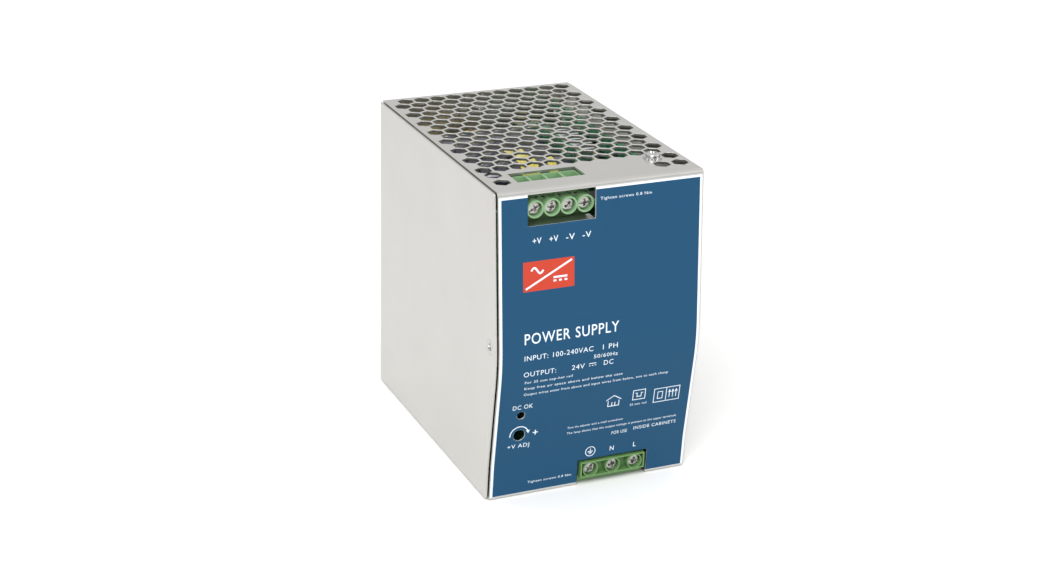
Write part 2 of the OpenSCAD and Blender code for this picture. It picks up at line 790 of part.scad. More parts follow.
pin_hole_d = 2.2;
pin_pitch = 2.54;
out_cap_y = 53;
out_cap_step = out_cap_d + 0.3;
out_cap_z = case_h - 15;
filter_x = 12.4;

module filter_board() color([0.13, 0.38, 0.2]) {
    box([filter_x, filter_x + pcb_t], [side_y + 45.5, side_y + heatsink_y - 0.4],
        [case_h - 22.6, case_h - 5]);
    // header pins to the main board
    for (k = [0:5])
        box([filter_x + pcb_t - eps, board_x], about(side_y + 60.3 + pin_pitch * k, 0.6),
            about(case_h - 21.5, 0.6));
}

module insulation_sheet() color([0.93, 0.92, 0.86]) {
    difference() {
        box([board_x + 5.2, board_x + 5.6], [board_front - 2, board_back + 1.5],
            [board_low - 3, board_high + 3]);
        for (p = standoff_places)
            rod_x(5.8, board_x + 4, board_x + 7, p.x, p.y);
    }
}

module board_standoffs() color([0.8, 0.75, 0.5]) {
    for (p = standoff_places)
        difference() {
            rod_x(5, board_x + pcb_t, cover_in, p.x, p.y);
            rod_x(2.6, board_x + pcb_t - 1, board_x + pcb_t + 4, p.x, p.y);
        }
}

module board_screws() color([0.8, 0.8, 0.8]) {
    for (p = standoff_places) {
        rod_x(5.4, board_x - 1.8, board_x, p.x, p.y);
        rod_x(2.5, board_x - eps, board_x + pcb_t + 3.5, p.x, p.y);
    }
}

// ---------- power parts ----------

primary_right = 14;
primary_low = 18;
primary_high = case_h - 7;
transistor_places = [for (x = [-26, -4], z = [56, 86]) [x, z]];
bridge_place = [-16, 30];
device_places = concat(transistor_places, [bridge_place]);
device_t = 5;
device_hole_d = 3.2;
device_hole_up = 6;
fin_step = 3.2;
fin_t = 1.4;

module primary_heatsink() color([0.78, 0.79, 0.8]) {
    y = side_y + heatsink_y;
    difference() {
        union() {
            box([heatsink_left, primary_right], [y, y + heatsink_t], [primary_low, primary_high]);
            box([heatsink_left, heatsink_left + heatsink_t], [y, y + 22], [primary_low, primary_high]);
        }
        for (p = device_places)
            rod_y(device_hole_d, p.x, p.y + device_hole_up, y - 1, y + heatsink_t + 1);
    }
}

module secondary_heatsink() color([0.62, 0.66, 0.6]) {
    x0 = filter_x + pcb_t + 3;
    z0 = case_h - 19;
    y0 = side_y + 57;
    box([x0, x0 + 2.4], [y0, y0 + 27], [z0, case_h - 8]);
    for (k = [0:8])
        box([x0 + 2.4 - eps, x0 + 10], [y0 + fin_step * k, y0 + fin_t + fin_step * k],
            [z0, case_h - 8]);
}

// a flat three-legged power device lying against the heatsink's back face
module flat_device(x, y, z, w, h) {
    box(about(x, w), [y, y + device_t], about(z, h));
    for (k = [-1:1])
        box(about(x + k * w / 3.2, 1.2), [y + 1.8, y + 2.6], [z - h / 2 - 7, z - h / 2 + eps]);
}

module power_transistors() color([0.1, 0.1, 0.11]) {
    y = side_y + heatsink_y + heatsink_t;
    difference() {
        for (p = transistor_places)
            flat_device(p.x, y, p.y, 15.6, 20);
        for (p = transistor_places)
            rod_y(device_hole_d, p.x, p.y + device_hole_up, y - 1, y + device_t + 1);
    }
}

module bridge_rectifier() color([0.12, 0.12, 0.13]) {
    y = side_y + heatsink_y + heatsink_t;
    difference() {
        flat_device(bridge_place.x, y, bridge_place.y, 24, 18);
        rod_y(device_hole_d, bridge_place.x, bridge_place.y + device_hole_up, y - 1, y + device_t + 1);
    }
}

module output_rectifiers() color([0.1, 0.1, 0.11]) {
    x = filter_x + pcb_t + 0.6;
    for (y = [59.5, 72.5])
        box([x, x + 2.4], [side_y + y, side_y + y + 10], [case_h - 18.5, case_h - 8]);
}

module heatsink_screws() color([0.8, 0.8, 0.82]) {
    y = side_y + heatsink_y + heatsink_t + device_t;
    for (p = device_places) {
        rod_y(5.6, p.x, p.y + device_hole_up, y, y + 2);
        rod_y(3, p.x, p.y + device_hole_up, side_y + heatsink_y, y + eps);
    }
}

transformer_x = board_x - 4.7 - transformer_l;
transformer_y = 26;
transformer_z = case_h - 67.2;
leg = 7;

module transformer_core() color([0.22, 0.22, 0.23]) {
    y = [side_y + transformer_y, side_y + transformer_y + transformer_d];
    difference() {
        box([transformer_x, transformer_x + transformer_l], y,
            [transformer_z, transformer_z + transformer_h]);
        for (z = [transformer_z + leg, transformer_z + transformer_h / 2 + leg])
            box([transformer_x + leg, transformer_x + transformer_l - leg], [y[0] - 1, y[1] + 1],
                [z, z + transformer_h / 2 - 2 * leg]);
    }
}

module winding_outline(grow) {
    z0 = transformer_z + leg + 0.4 - grow;
    z1 = transformer_z + transformer_h - leg - 0.4 + grow;
    y0 = side_y + transformer_y - 3.2 - grow;
    y1 = side_y + transformer_y + transformer_d + 3.2 + grow;
    translate([y0, z0]) square([y1 - y0, z1 - z0]);
}

module leg_room() {
    translate([side_y + transformer_y - 0.3, transformer_z + transformer_h / 2 - leg - 0.3])
        square([transformer_d + 0.6, 2 * leg + 0.6]);
}

module transformer_bobbin() color([0.15, 0.15, 0.16]) {
    x = [transformer_x + leg + 0.4, transformer_x + transformer_l - leg - 0.4];
    for (x0 = [x[0], x[1] - 1.4])
        across(1.4, x0 + 0.7) difference() {
            winding_outline(0);
            leg_room();
        }
    for (k = [0:4])
        box([transformer_x + transformer_l - leg - 1, board_x], about(side_y + transformer_y - 2, 0.8),
            about(transformer_z + 10.4 + 5 * k, 0.8));
}

module transformer_winding() color([0.85, 0.75, 0.25]) {
    x = [transformer_x + leg + 2, transformer_x + transformer_l - leg - 2];
    across(x[1] - x[0], (x[0] + x[1]) / 2) difference() {
        winding_outline(-0.6);
        leg_room();
    }
}

bulk_cap_y = 70;
bulk_cap_zs = [36, 68];

module bulk_capacitors() color([0.30, 0.28, 0.34]) {
    for (z = bulk_cap_zs) {
        rod_x(bulk_cap_d, board_x - 1 - bulk_cap_l, board_x - 1, side_y + bulk_cap_y, z);
        for (dz = [-5, 5])
            rod_x(1.4, board_x - 1 - eps, board_x, side_y + bulk_cap_y, z + dz);
    }
}

module output_capacitors() color([0.38, 0.35, 0.42]) {
    for (k = [0:2]) {
        y = side_y + out_cap_y + k * out_cap_step;
        rod_x(out_cap_d, filter_x - 0.6 - out_cap_l, filter_x - 0.6, y, out_cap_z);
        for (dz = [-2.5, 2.5])
            rod_x(0.8, filter_x - 0.6 - eps, filter_x, y, out_cap_z + dz);
    }
}

// a toroid standing on edge, its axis along Y
module toroid(outer_d, inner_d, depth, x, y, z) {
    translate([x, y, z]) rotate([90, 0, 0])
        linear_extrude(height = depth, center = true) ring_2d(outer_d, inner_d);
}

// wire wound round a toroid: a ring of separate turns over the core's skin
module wound_turns(outer_d, inner_d, depth, wire, turns, x, y, z) {
    for (k = [0:turns - 1])
        translate([x, y, z]) rotate([0, 360 * k / turns, 0]) translate([(outer_d + inner_d) / 4, 0, 0])
            difference() {
                cube([(outer_d - inner_d) / 2 + 2 * wire + 0.2, depth + 2 * wire + 0.2, wire],
                    center = true);
                cube([(outer_d - inner_d) / 2 + 0.2, depth + 0.2, 3 * wire], center = true);
            }
}

boost_choke = [-6, 106.5, 96];
boost_choke_ds = [30, 16];
boost_choke_t = 14;
choke_wire = 1.1;

module boost_choke_core() color([0.75, 0.72, 0.35]) {
    toroid(boost_choke_ds[0], boost_choke_ds[1], boost_choke_t,
        boost_choke.x, side_y + boost_choke.y, boost_choke.z);
}

module boost_choke_winding() color([0.72, 0.42, 0.2]) {
    wound_turns(boost_choke_ds[0], boost_choke_ds[1], boost_choke_t, choke_wire, 24,
        boost_choke.x, side_y + boost_choke.y, boost_choke.z);
}

line_choke_places = [[-22, 31, 22], [-22, 46, 22]];
line_choke_ds = [24, 12];
line_choke_t = 10;

module line_choke_cores() color([0.2, 0.3, 0.25]) {
    for (p = line_choke_places)
        toroid(line_choke_ds[0], line_choke_ds[1], line_choke_t, p.x, side_y + p.y, p.z);
}

module line_choke_windings() color([0.72, 0.42, 0.2]) {
    for (p = line_choke_places)
        wound_turns(line_choke_ds[0], line_choke_ds[1], line_choke_t, choke_wire, 18,
            p.x, side_y + p.y, p.z);
}

module output_choke() color([0.4, 0.5, 0.45]) {
    toroid(22, 9, 12, board_x - 12.2, side_y + 104, case_h - 22);
    box([board_x - 1.2, board_x], [side_y + 98, side_y + 110], [case_h - 27, case_h - 17]);
}

module suppression_capacitors() color([0.85, 0.8, 0.3]) {
    for (p = [[24, 12], [42, 12]])
        box([board_x - 27, board_x - 0.5], [side_y + p[0], side_y + p[0] + 12], [p[1], p[1] + 17]);
}

module inlet_fuse() color([0.85, 0.82, 0.78]) {
    rod_x(5.2, board_x - 25, board_x - 4, side_y + 27, 34);
    rod_x(6, board_x - 27, board_x - 22, side_y + 27, 34);
    rod_x(6, board_x - 6, board_x, side_y + 27, 34);
}

module varistor() color([0.15, 0.3, 0.65]) {
    rod_y(13, board_x - 10, 42, side_y + 34, side_y + 38.5);
    box([board_x - 4, board_x], [side_y + 35.6, side_y + 36.4], [41.6, 42.4]);
}

module board_connectors() color([0.92, 0.9, 0.84]) {
    for (z = [50, 84])
        box([board_x - 8, board_x], about(side_y + front_board_y + pcb_t + 1.5, 3), [z - 8, z - 1]);
}

// ---------- the model ----------

front_chassis();
rear_cover();
front_label();
case_screws();
top_screw();
top_washer();
rail_bracket();
rail_latch();
latch_spring();
latch_straps();
clip_rivets();
output_terminal_housing();
output_contacts();
output_screw(0);  // output_screw_1
output_screw(1);  // output_screw_2
output_screw(2);  // output_screw_3
output_screw(3);  // output_screw_4
output_cage(0);  // output_cage_1
output_cage(1);  // output_cage_2
output_cage(2);  // output_cage_3
output_cage(3);  // output_cage_4
input_terminal_housing();
input_contacts();
input_screw(0);  // input_screw_1
input_screw(1);  // input_screw_2
input_screw(2);  // input_screw_3
input_cage(0);  // input_cage_1
input_cage(1);  // input_cage_2
input_cage(2);  // input_cage_3
adjuster_body();
adjuster_rotor();
status_lamp();
main_board();
front_board();
filter_board();
insulation_sheet();
board_standoffs();
board_screws();
primary_heatsink();
secondary_heatsink();
power_transistors();
output_rectifiers();
bridge_rectifier();
heatsink_screws();
transformer_core();
transformer_bobbin();
transformer_winding();
bulk_capacitors();
output_capacitors();
boost_choke_core();
boost_choke_winding();
line_choke_cores();
line_choke_windings();
output_choke();
suppression_capacitors();
inlet_fuse();
varistor();
board_connectors();
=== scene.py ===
"""Gives a DIN rail power supply its looks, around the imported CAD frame."""

import math

import bmesh
import bpy
from bpy.props import FloatProperty, FloatVectorProperty, IntProperty, PointerProperty
from bpy.types import Operator, Panel, PropertyGroup
from mathutils import Matrix, Vector
from mathutils.bvhtree import BVHTree


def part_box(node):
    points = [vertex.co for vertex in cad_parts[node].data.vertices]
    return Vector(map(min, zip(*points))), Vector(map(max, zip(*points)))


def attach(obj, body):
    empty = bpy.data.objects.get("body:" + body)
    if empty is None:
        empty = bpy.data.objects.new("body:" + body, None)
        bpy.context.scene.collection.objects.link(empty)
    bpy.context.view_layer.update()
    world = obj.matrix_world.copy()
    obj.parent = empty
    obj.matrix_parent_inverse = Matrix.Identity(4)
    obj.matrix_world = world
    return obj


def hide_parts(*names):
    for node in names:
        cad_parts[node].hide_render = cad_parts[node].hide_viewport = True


bl_info = {
    "name": "DIN Rail Power Supply",
    "version": (1, 0, 0),
    "blender": (4, 5, 0),
    "location": "3D View > Sidebar > Power Supply",
    "description": "Finishes a sheet-metal rail power supply around its CAD frame",
    "category": "Add Mesh",
}

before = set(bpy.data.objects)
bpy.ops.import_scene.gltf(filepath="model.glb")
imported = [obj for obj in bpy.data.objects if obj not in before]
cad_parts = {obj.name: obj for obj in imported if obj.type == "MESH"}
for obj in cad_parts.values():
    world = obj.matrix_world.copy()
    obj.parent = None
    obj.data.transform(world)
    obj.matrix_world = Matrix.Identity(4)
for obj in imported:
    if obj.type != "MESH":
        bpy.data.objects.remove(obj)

MM = 0.001
OUTPUT_POLES = 4
INPUT_POLES = 3

# softening and shading of edges
FLAT_ANGLE = math.radians(0.3)
SOFT_ANGLE = math.radians(30)
SHARP_ANGLE = math.radians(35)

# sockets of the colour mixing node
COLOUR_A, COLOUR_B, COLOUR_RESULT = 6, 7, 2

# cut-outs of the label
WINDOW_DROP = 13.8 * MM
WINDOW_MARGIN = 0.2 * MM
NOTCH_HEAD = 11.1 * MM
NOTCH_MARGIN = 1.2 * MM
ADJUSTER_HOLE = 2.4 * MM
LAMP_HOLE = 1.65 * MM

# the badge's left, right, foot and head, and the margin round its symbol
BADGE = (-32.0 * MM, -11.4 * MM, 86.6 * MM, 98.0 * MM)
BADGE_MARGIN = 1.0 * MM

# lines of print: text, left and right end, base line, height of capitals and boldness, in millimetres
RATING_LEFT = 9.9 * MM
RATINGS = (
    ("POWER SUPPLY", 0.0, 38.8, 66.2, 4.4, 0.03),
    ("INPUT: 100-240VAC", 0.0, 28.2, 59.7, 2.1, 0.0),
    ("1 PH", 32.2, 38.4, 59.7, 2.1, 0.0),
    ("50/60Hz", 28.6, 38.6, 56.5, 1.6, 0.0),
    ("OUTPUT:", 0.0, 13.2, 53.0, 2.1, 0.0),
    ("24V", 19.7, 25.0, 53.0, 2.1, 0.0),
    ("DC", 33.0, 37.0, 53.0, 2.1, 0.0),
)
LEFT_NOTES_LEFT = 10.6 * MM
LEFT_NOTES = (
    ("For 35 mm top-hat rail", 0.0, 19.6, 50.0, 1.1, 0.0),
    ("Keep free air space above and below the case", 0.0, 40.8, 47.4, 1.1, 0.0),
    (
        "Output wires enter from above and input wires from below, one to each clamp",
        0.0, 60.6, 44.8, 1.1, 0.0,
    ),
)
MIDDLE_NOTES = (
    ("Tighten screws 0.8 Nm", -0.9, 20.2, 118.2, 1.15, 0.0),
    ("Tighten screws 0.8 Nm", -26.0, -7.5, 5.0, 1.0, 0.0),
    ("Turn the adjuster with a small screwdriver", -11.0, 12.7, 26.6, 1.0, 0.0),
    (
        "The lamp shows that the output voltage is present at the upper terminals",
        -11.0, 36.0, 24.1, 1.0, 0.0,
    ),
    ("FOR USE", 8.4, 15.0, 20.6, 1.5, 0.0),
    ("INSIDE CABINETS", 17.8, 36.2, 21.1, 1.5, 0.0),
)
POLE_MARKS = ("+V", "+V", "-V", "-V")
POLE_MARK_BASE = 104.6 * MM
INPUT_MARK_BASE = 13.2 * MM
BOLD = 0.02 * MM

# screws
SHANK_RADIUS = 1.5 * MM
FLAT_HEAD_RADIUS = 3.0 * MM
FLAT_SCREW_LENGTH = 6.0 * MM
BACK_SCREW_INSET = 7 * MM
PAN_HEAD_HEIGHT = 1.7 * MM
CLAMP_HEAD_HEIGHT = 2.15 * MM
CLAMP_SLOT_WIDTH = 0.65 * MM

# wound chokes
WIRE = 1.1 * MM
BOOST_BORE, BOOST_TURNS = 8.0 * MM, 24
LINE_BORE, LINE_DEPTH, LINE_TURNS = 6.0 * MM, 10.0 * MM, 18

# stage
FLOOR_RADIUS = 3.0
LOWEST_DAYLIGHT = 0.42
STAGE_CENTRE = (0.0, 0.0, 0.06)


# ---------- settings ----------


def colour_value(name, description, red, green, blue):
    return FloatVectorProperty(
        name=name, description=description, subtype="COLOR", size=3,
        min=0.0, max=1.0, default=(red, green, blue),
    )


def length_value(name, description, value):
    return FloatProperty(
        name=name, description=description, unit="LENGTH", precision=5, min=0.0, default=value,
    )


def share_value(name, description, value):
    return FloatProperty(
        name=name, description=description, subtype="FACTOR", min=0.0, max=1.0, default=value,
    )


class SheetSettings(PropertyGroup):
    colour: colour_value("Sheet colour", "Colour of the bare sheet steel", 0.60, 0.59, 0.565)
    clip_colour: colour_value("Clip colour", "Colour of the rail clip's steel", 0.62, 0.62, 0.60)
    rivet_colour: colour_value("Rivets", "Colour of the clip's rivets", 0.72, 0.72, 0.71)
    spring_colour: colour_value("Spring", "Colour of the latch's spring wire", 0.50, 0.50, 0.50)
    roughness: share_value("Sheet roughness", "How blurred reflections in the sheet are", 0.34)
    edge: length_value("Sheet edge", "Radius that softens cut edges of the sheet", 0.12 * MM)
    clip_edge: length_value("Clip edge", "Radius that softens the clip's edges", 0.15 * MM)


class LabelSettings(PropertyGroup):
    field_colour: colour_value("Field", "Colour of the label's printed field", 0.007, 0.062, 0.135)
    border_colour: colour_value("Border", "Colour of the label's border", 0.74, 0.79, 0.86)
    mark_colour: colour_value("Marks", "Colour of the printed marks", 0.70, 0.78, 0.84)
    badge_colour: colour_value("Badge", "Colour of the plain badge", 0.50, 0.05, 0.025)
    side_border: length_value("Side border", "Width of the pale border at each side", 0.95 * MM)
    top_border: length_value("Top border", "Height of the pale border at the top", 0.85 * MM)
    foot_border: length_value("Foot border", "Height of the pale border at the foot", 0.1 * MM)
    print_step: length_value("Print step", "Height of one printed layer", 0.03 * MM)


class TerminalSettings(PropertyGroup):
    output_colour: colour_value("Output block", "Colour of the output block", 0.19, 0.34, 0.17)
    # The input block is the same green plastic as the output block; its darker colour here is painted shade.
    input_shaded_colour: colour_value("Input block", "Colour of the input block", 0.12, 0.25, 0.085)
    contact_colour: colour_value("Contacts", "Colour of tinned copper", 0.72, 0.66, 0.52)
    clamp_colour: colour_value("Clamps", "Colour of the clamp screws and cages", 0.46, 0.45, 0.43)
    clamp_roughness: share_value("Clamp roughness", "How blurred reflections in the clamps are", 0.2)
    edge: length_value("Block edge", "Radius that softens the moulded edges", 0.12 * MM)


class ScrewSettings(PropertyGroup):
    colour: colour_value("Screw colour", "Colour of the plated screws", 0.56, 0.56, 0.55)
    roughness: share_value("Screw roughness", "How blurred reflections in the screws are", 0.22)
    recess_span: share_value("Recess span", "Span of a cross recess as a share of the head", 0.62)
    recess_width: share_value("Recess width", "Width of a cross recess as a share of the head", 0.24)
    steps: IntProperty(name="Steps", description="Sides of a screw head", min=24, max=96, default=48)


class ControlSettings(PropertyGroup):
    lamp_colour: colour_value("Lamp", "Colour of the unlit lamp", 0.62, 0.46, 0.44)
    brass_colour: colour_value("Brass", "Colour of the rotor and the spacers", 0.78, 0.62, 0.32)
    adjuster_colour: colour_value("Adjuster", "Colour of the adjuster's body", 0.03, 0.06, 0.20)


class InsideSettings(PropertyGroup):
    board_colour: colour_value("Boards", "Colour of the solder mask", 0.02, 0.17, 0.07)
    sleeve_colour: colour_value("Sleeves", "Colour of the capacitors' sleeves", 0.035, 0.031, 0.05)
    stripe_colour: colour_value("Stripe", "Colour of the stripe on a sleeve", 0.55, 0.55, 0.62)
    tape_colour: colour_value("Tape", "Colour of the transformer's tape", 0.78, 0.66, 0.10)
    copper_colour: colour_value("Wire", "Colour of the enamelled wire", 0.30, 0.14, 0.045)
    ferrite_colour: colour_value("Ferrite", "Colour of bare ferrite", 0.05, 0.05, 0.055)
    powder_core_colour: colour_value("Powder core", "Colour of the coated choke core", 0.60, 0.55, 0.14)
    green_core_colour: colour_value("Green core", "Colour of the line chokes' cores", 0.05, 0.16, 0.10)
    epoxy_colour: colour_value("Epoxy", "Colour of the power devices", 0.02, 0.02, 0.023)
    nylon_colour: colour_value("Nylon", "Colour of the small plugs", 0.80, 0.77, 0.68)
    film_colour: colour_value("Film box", "Colour of the suppression capacitors", 0.62, 0.52, 0.10)
    aluminium_colour: colour_value("Heatsinks", "Colour of the aluminium", 0.80, 0.81, 0.82)
    insulation_colour: colour_value("Insulation", "Colour of the insulating film", 0.82, 0.80, 0.72)
    bobbin_colour: colour_value("Bobbin", "Colour of the transformer's bobbin", 0.025, 0.025, 0.028)
    output_choke_colour: colour_value("Output choke", "Colour of the wrapped choke", 0.16, 0.22, 0.18)
    fuse_colour: colour_value("Fuse", "Colour of the fuse's ceramic", 0.80, 0.78, 0.72)
    varistor_colour: colour_value("Varistor", "Colour of the varistor's coat", 0.03, 0.10, 0.40)
    edge: length_value("Part edge", "Radius that softens the inner parts", 0.2 * MM)


class StudioSettings(PropertyGroup):
    azimuth: FloatProperty(
        name="Azimuth", description="Camera's angle round the object", subtype="ANGLE",
        default=math.radians(-24.28),
    )
    elevation: FloatProperty(
        name="Elevation", description="Camera's angle above the horizon", subtype="ANGLE",
        default=math.radians(22.02),
    )
    roll: FloatProperty(
        name="Roll", description="Camera's lean", subtype="ANGLE", default=math.radians(1.64),
    )
    distance: length_value("Distance", "Camera's distance from its target", 813.9 * MM)
    target: FloatVectorProperty(
        name="Target", description="Point the camera looks at", subtype="TRANSLATION", unit="LENGTH",
        default=(-2.15 * MM, 1.93 * MM, 60.8 * MM),
    )
    lens: FloatProperty(name="Lens", description="Focal length in millimetres", default=69.12)
    floor_colour: colour_value("Floor", "Colour of the studio floor", 0.90, 0.90, 0.895)
    daylight: FloatProperty(name="Daylight", description="Strength of the even light", min=0.0, default=0.95)
    key_power: FloatProperty(name="Key", description="Power of the main soft light", min=0.0, default=30.0)
    fill_power: FloatProperty(name="Fill", description="Power of the second soft light", min=0.0, default=5.0)


SETTINGS = {
    "sheet": SheetSettings,
    "label": LabelSettings,
    "terminals": TerminalSettings,
    "screws": ScrewSettings,
    "controls": ControlSettings,
    "inside": InsideSettings,
    "studio": StudioSettings,
}


# ---------- finishes ----------


class Finish:
    """A material with one principled shader and texture nodes in the object's own metres."""

    def __init__(self, name, colour, roughness, metallic=0.0, **sockets):
        self.material = bpy.data.materials.new(name)
        self.material.use_nodes = True
        self.nodes = self.material.node_tree.nodes
        self.links = self.material.node_tree.links
        self.shader = self.nodes["Principled BSDF"]
        self.colour = tuple(colour)
        self.shader.inputs["Base Color"].default_value = (*self.colour, 1.0)
        self.shader.inputs["Roughness"].default_value = roughness
        self.shader.inputs["Metallic"].default_value = metallic
        self.normal = None
        for socket, value in sockets.items():
            self.shader.inputs[socket.replace("_", " ").title().replace("Ior", "IOR")].default_value = value

    def place(self, stretch=(1.0, 1.0, 1.0)):
        coordinates = self.nodes.new("ShaderNodeTexCoord")
        mapping = self.nodes.new("ShaderNodeMapping")
        mapping.inputs["Scale"].default_value = stretch
        self.links.new(coordinates.outputs["Object"], mapping.inputs["Vector"])
        return mapping.outputs["Vector"]

    def noise(self, size, detail=3.0, stretch=(1.0, 1.0, 1.0)):
        texture = self.nodes.new("ShaderNodeTexNoise")
        texture.inputs["Scale"].default_value = 1.0 / size
        texture.inputs["Detail"].default_value = detail
        self.links.new(self.place(stretch), texture.inputs["Vector"])
        return texture.outputs["Fac"]

    def cells(self, size, stretch=(1.0, 1.0, 1.0)):
        texture = self.nodes.new("ShaderNodeTexVoronoi")
        texture.feature = "DISTANCE_TO_EDGE"
        texture.inputs["Scale"].default_value = 1.0 / size
        self.links.new(self.place(stretch), texture.inputs["Vector"])
        return texture.outputs["Distance"]

    def waves(self, size, direction, distortion=0.0):
        texture = self.nodes.new("ShaderNodeTexWave")
        texture.bands_direction = direction
        texture.inputs["Scale"].default_value = 1.0 / size
        texture.inputs["Distortion"].default_value = distortion
        self.links.new(self.place(), texture.inputs["Vector"])
        return texture.outputs["Fac"]

    def between(self, factor, low, high, start=0.0, end=1.0):
        spread = self.nodes.new("ShaderNodeMapRange")
        spread.inputs["From Min"].default_value = start
        spread.inputs["From Max"].default_value = end
        spread.inputs["To Min"].default_value = low
        spread.inputs["To Max"].default_value = high
        self.links.new(factor, spread.inputs["Value"])
        return spread.outputs["Result"]

    def mix(self, factor, first, second):
        """Colour between two colours; either may be a socket."""
        blend = self.nodes.new("ShaderNodeMix")
        blend.data_type = "RGBA"
        self.links.new(factor, blend.inputs["Factor"])
        for socket, value in ((blend.inputs[COLOUR_A], first), (blend.inputs[COLOUR_B], second)):
            if isinstance(value, bpy.types.NodeSocket):
                self.links.new(value, socket)
            else:
                socket.default_value = (*value, 1.0)
        return blend.outputs[COLOUR_RESULT]

    def shades(self, factor, dark, light):
        """The finish's own colour, between a darker and a lighter share of it."""
        low = tuple(min(1.0, c * dark) for c in self.colour)
        high = tuple(min(1.0, c * light) for c in self.colour)
        return self.mix(factor, low, high)

    def paint(self, colour_socket):
        self.links.new(colour_socket, self.shader.inputs["Base Color"])
        return self

    def rough(self, factor, low, high):
        self.links.new(self.between(factor, low, high), self.shader.inputs["Roughness"])
        return self

    def relief(self, factor, height, strength=1.0):
        bump = self.nodes.new("ShaderNodeBump")
        bump.inputs["Distance"].default_value = height
        bump.inputs["Strength"].default_value = strength
        self.links.new(factor, bump.inputs["Height"])
        if self.normal is not None:
            self.links.new(self.normal, bump.inputs["Normal"])
        self.normal = bump.outputs["Normal"]
        self.links.new(self.normal, self.shader.inputs["Normal"])
        return self


def sheet_steel(name, colour, roughness):
    """Bare plated sheet: fine rolling grain, faint clouds, a few soft smudges."""
    finish = Finish(name, colour, roughness, metallic=1.0)
    clouds = finish.noise(35 * MM, 4.0)
    grain = finish.noise(0.6 * MM, 2.0, (1.0, 1.0, 0.06))
    finish.paint(finish.shades(clouds, 0.95, 1.04))
    finish.rough(finish.noise(9 * MM, 5.0), roughness - 0.05, roughness + 0.06)
    finish.relief(grain, 0.004 * MM, 0.35)
    finish.relief(finish.noise(4 * MM, 3.0), 0.012 * MM, 0.25)
    return finish.material


def plated_steel(name, colour, roughness):
    """Zinc or nickel plated part: close grain and slight mottling."""
    finish = Finish(name, colour, roughness, metallic=1.0)
    finish.paint(finish.shades(finish.noise(2.5 * MM, 4.0), 0.86, 1.08))
    finish.rough(finish.noise(0.8 * MM, 4.0), roughness - 0.06, roughness + 0.12)
    finish.relief(finish.noise(0.25 * MM, 3.0), 0.004 * MM, 0.4)
    return finish.material


def printed_film(name, colour, roughness):
    """Ink on polyester film: an even colour with a very fine satin tooth."""
    finish = Finish(name, colour, roughness, specular_ior_level=0.2)
    finish.paint(finish.shades(finish.noise(14 * MM, 3.0), 0.965, 1.035))
    finish.rough(finish.noise(1.5 * MM, 4.0), roughness - 0.04, roughness + 0.05)
    finish.relief(finish.noise(0.16 * MM, 2.0), 0.003 * MM, 0.3)
    return finish.material


def moulded_plastic(name, colour, roughness, glow=0.0):
    """Moulded part: slight flow marks, a soft skin texture and a little light let in."""
    finish = Finish(name, colour, roughness, subsurface_weight=glow, subsurface_scale=0.6 * MM)
    finish.paint(finish.shades(finish.noise(5 * MM, 4.0, (1.0, 1.0, 0.4)), 0.92, 1.06))
    finish.rough(finish.noise(1.2 * MM, 4.0), roughness - 0.06, roughness + 0.08)
    finish.relief(finish.noise(0.3 * MM, 3.0), 0.006 * MM, 0.35)
    return finish.material


def circuit_board(name, colour):
    """Solder mask over copper: tracks show as slightly raised, lighter paths with round pads."""
    finish = Finish(name, colour, 0.32, coat_weight=0.5, coat_roughness=0.15)
    tracks = finish.between(finish.cells(4.5 * MM, (1.0, 1.0, 1.6)), 1.0, 0.0, 0.06, 0.10)
    pours = finish.between(finish.noise(9 * MM, 0.0), 0.0, 1.0, 0.49, 0.52)
    bare = finish.mix(pours, tuple(c * 0.75 for c in finish.colour), finish.colour)
    finish.paint(finish.mix(tracks, bare, tuple(min(1.0, c * 1.9) for c in finish.colour)))
    finish.relief(tracks, 0.05 * MM, 0.5)
    finish.rough(finish.noise(2 * MM, 3.0), 0.26, 0.40)
    return finish.material


def mill_aluminium(name, colour):
    """Extruded aluminium: long draw lines along one direction."""
    finish = Finish(name, colour, 0.38, metallic=1.0)
    lines = finish.noise(0.5 * MM, 3.0, (1.0, 1.0, 0.03))
    finish.paint(finish.shades(finish.noise(12 * MM, 3.0), 0.90, 1.05))
    finish.rough(lines, 0.30, 0.46)
    finish.relief(lines, 0.01 * MM, 0.4)
    return finish.material


def ferrite(name, colour):
    """Pressed ferrite: dark, dull and slightly grainy."""
    finish = Finish(name, colour, 0.62)
    finish.paint(finish.shades(finish.noise(0.7 * MM, 5.0), 0.6, 1.7))
    finish.rough(finish.noise(1.5 * MM, 3.0), 0.5, 0.72)
    finish.relief(finish.noise(0.35 * MM, 4.0), 0.02 * MM, 0.5)
    return finish.material


def wound_tape(name, colour):
    """Polyester tape in overlapping turns: fine steps and a glossy film."""
    finish = Finish(name, colour, 0.24, coat_weight=0.6, coat_roughness=0.12)
    steps = finish.waves(5 * MM, "X", 0.6)
    finish.paint(finish.shades(steps, 0.82, 1.08))
    finish.rough(finish.noise(2 * MM, 3.0), 0.18, 0.34)
    finish.relief(steps, 0.06 * MM, 0.5)
    return finish.material


def enamelled_wire(name, colour):
    """Enamelled copper: a clear varnish over a warm metal."""
    finish = Finish(name, colour, 0.28, metallic=0.75, coat_weight=0.8, coat_roughness=0.08)
    finish.paint(finish.shades(finish.noise(3 * MM, 3.0), 0.75, 1.2))
    finish.rough(finish.noise(0.6 * MM, 3.0), 0.2, 0.36)
    return finish.material


def coated_core(name, colour):
    """A toroid's epoxy coat: slightly orange-peeled."""
    finish = Finish(name, colour, 0.34, coat_weight=0.4, coat_roughness=0.2)
    finish.paint(finish.shades(finish.noise(3 * MM, 4.0), 0.82, 1.12))
    finish.rough(finish.noise(1.0 * MM, 3.0), 0.28, 0.42)
    finish.relief(finish.noise(0.9 * MM, 3.0), 0.03 * MM, 0.4)
    return finish.material


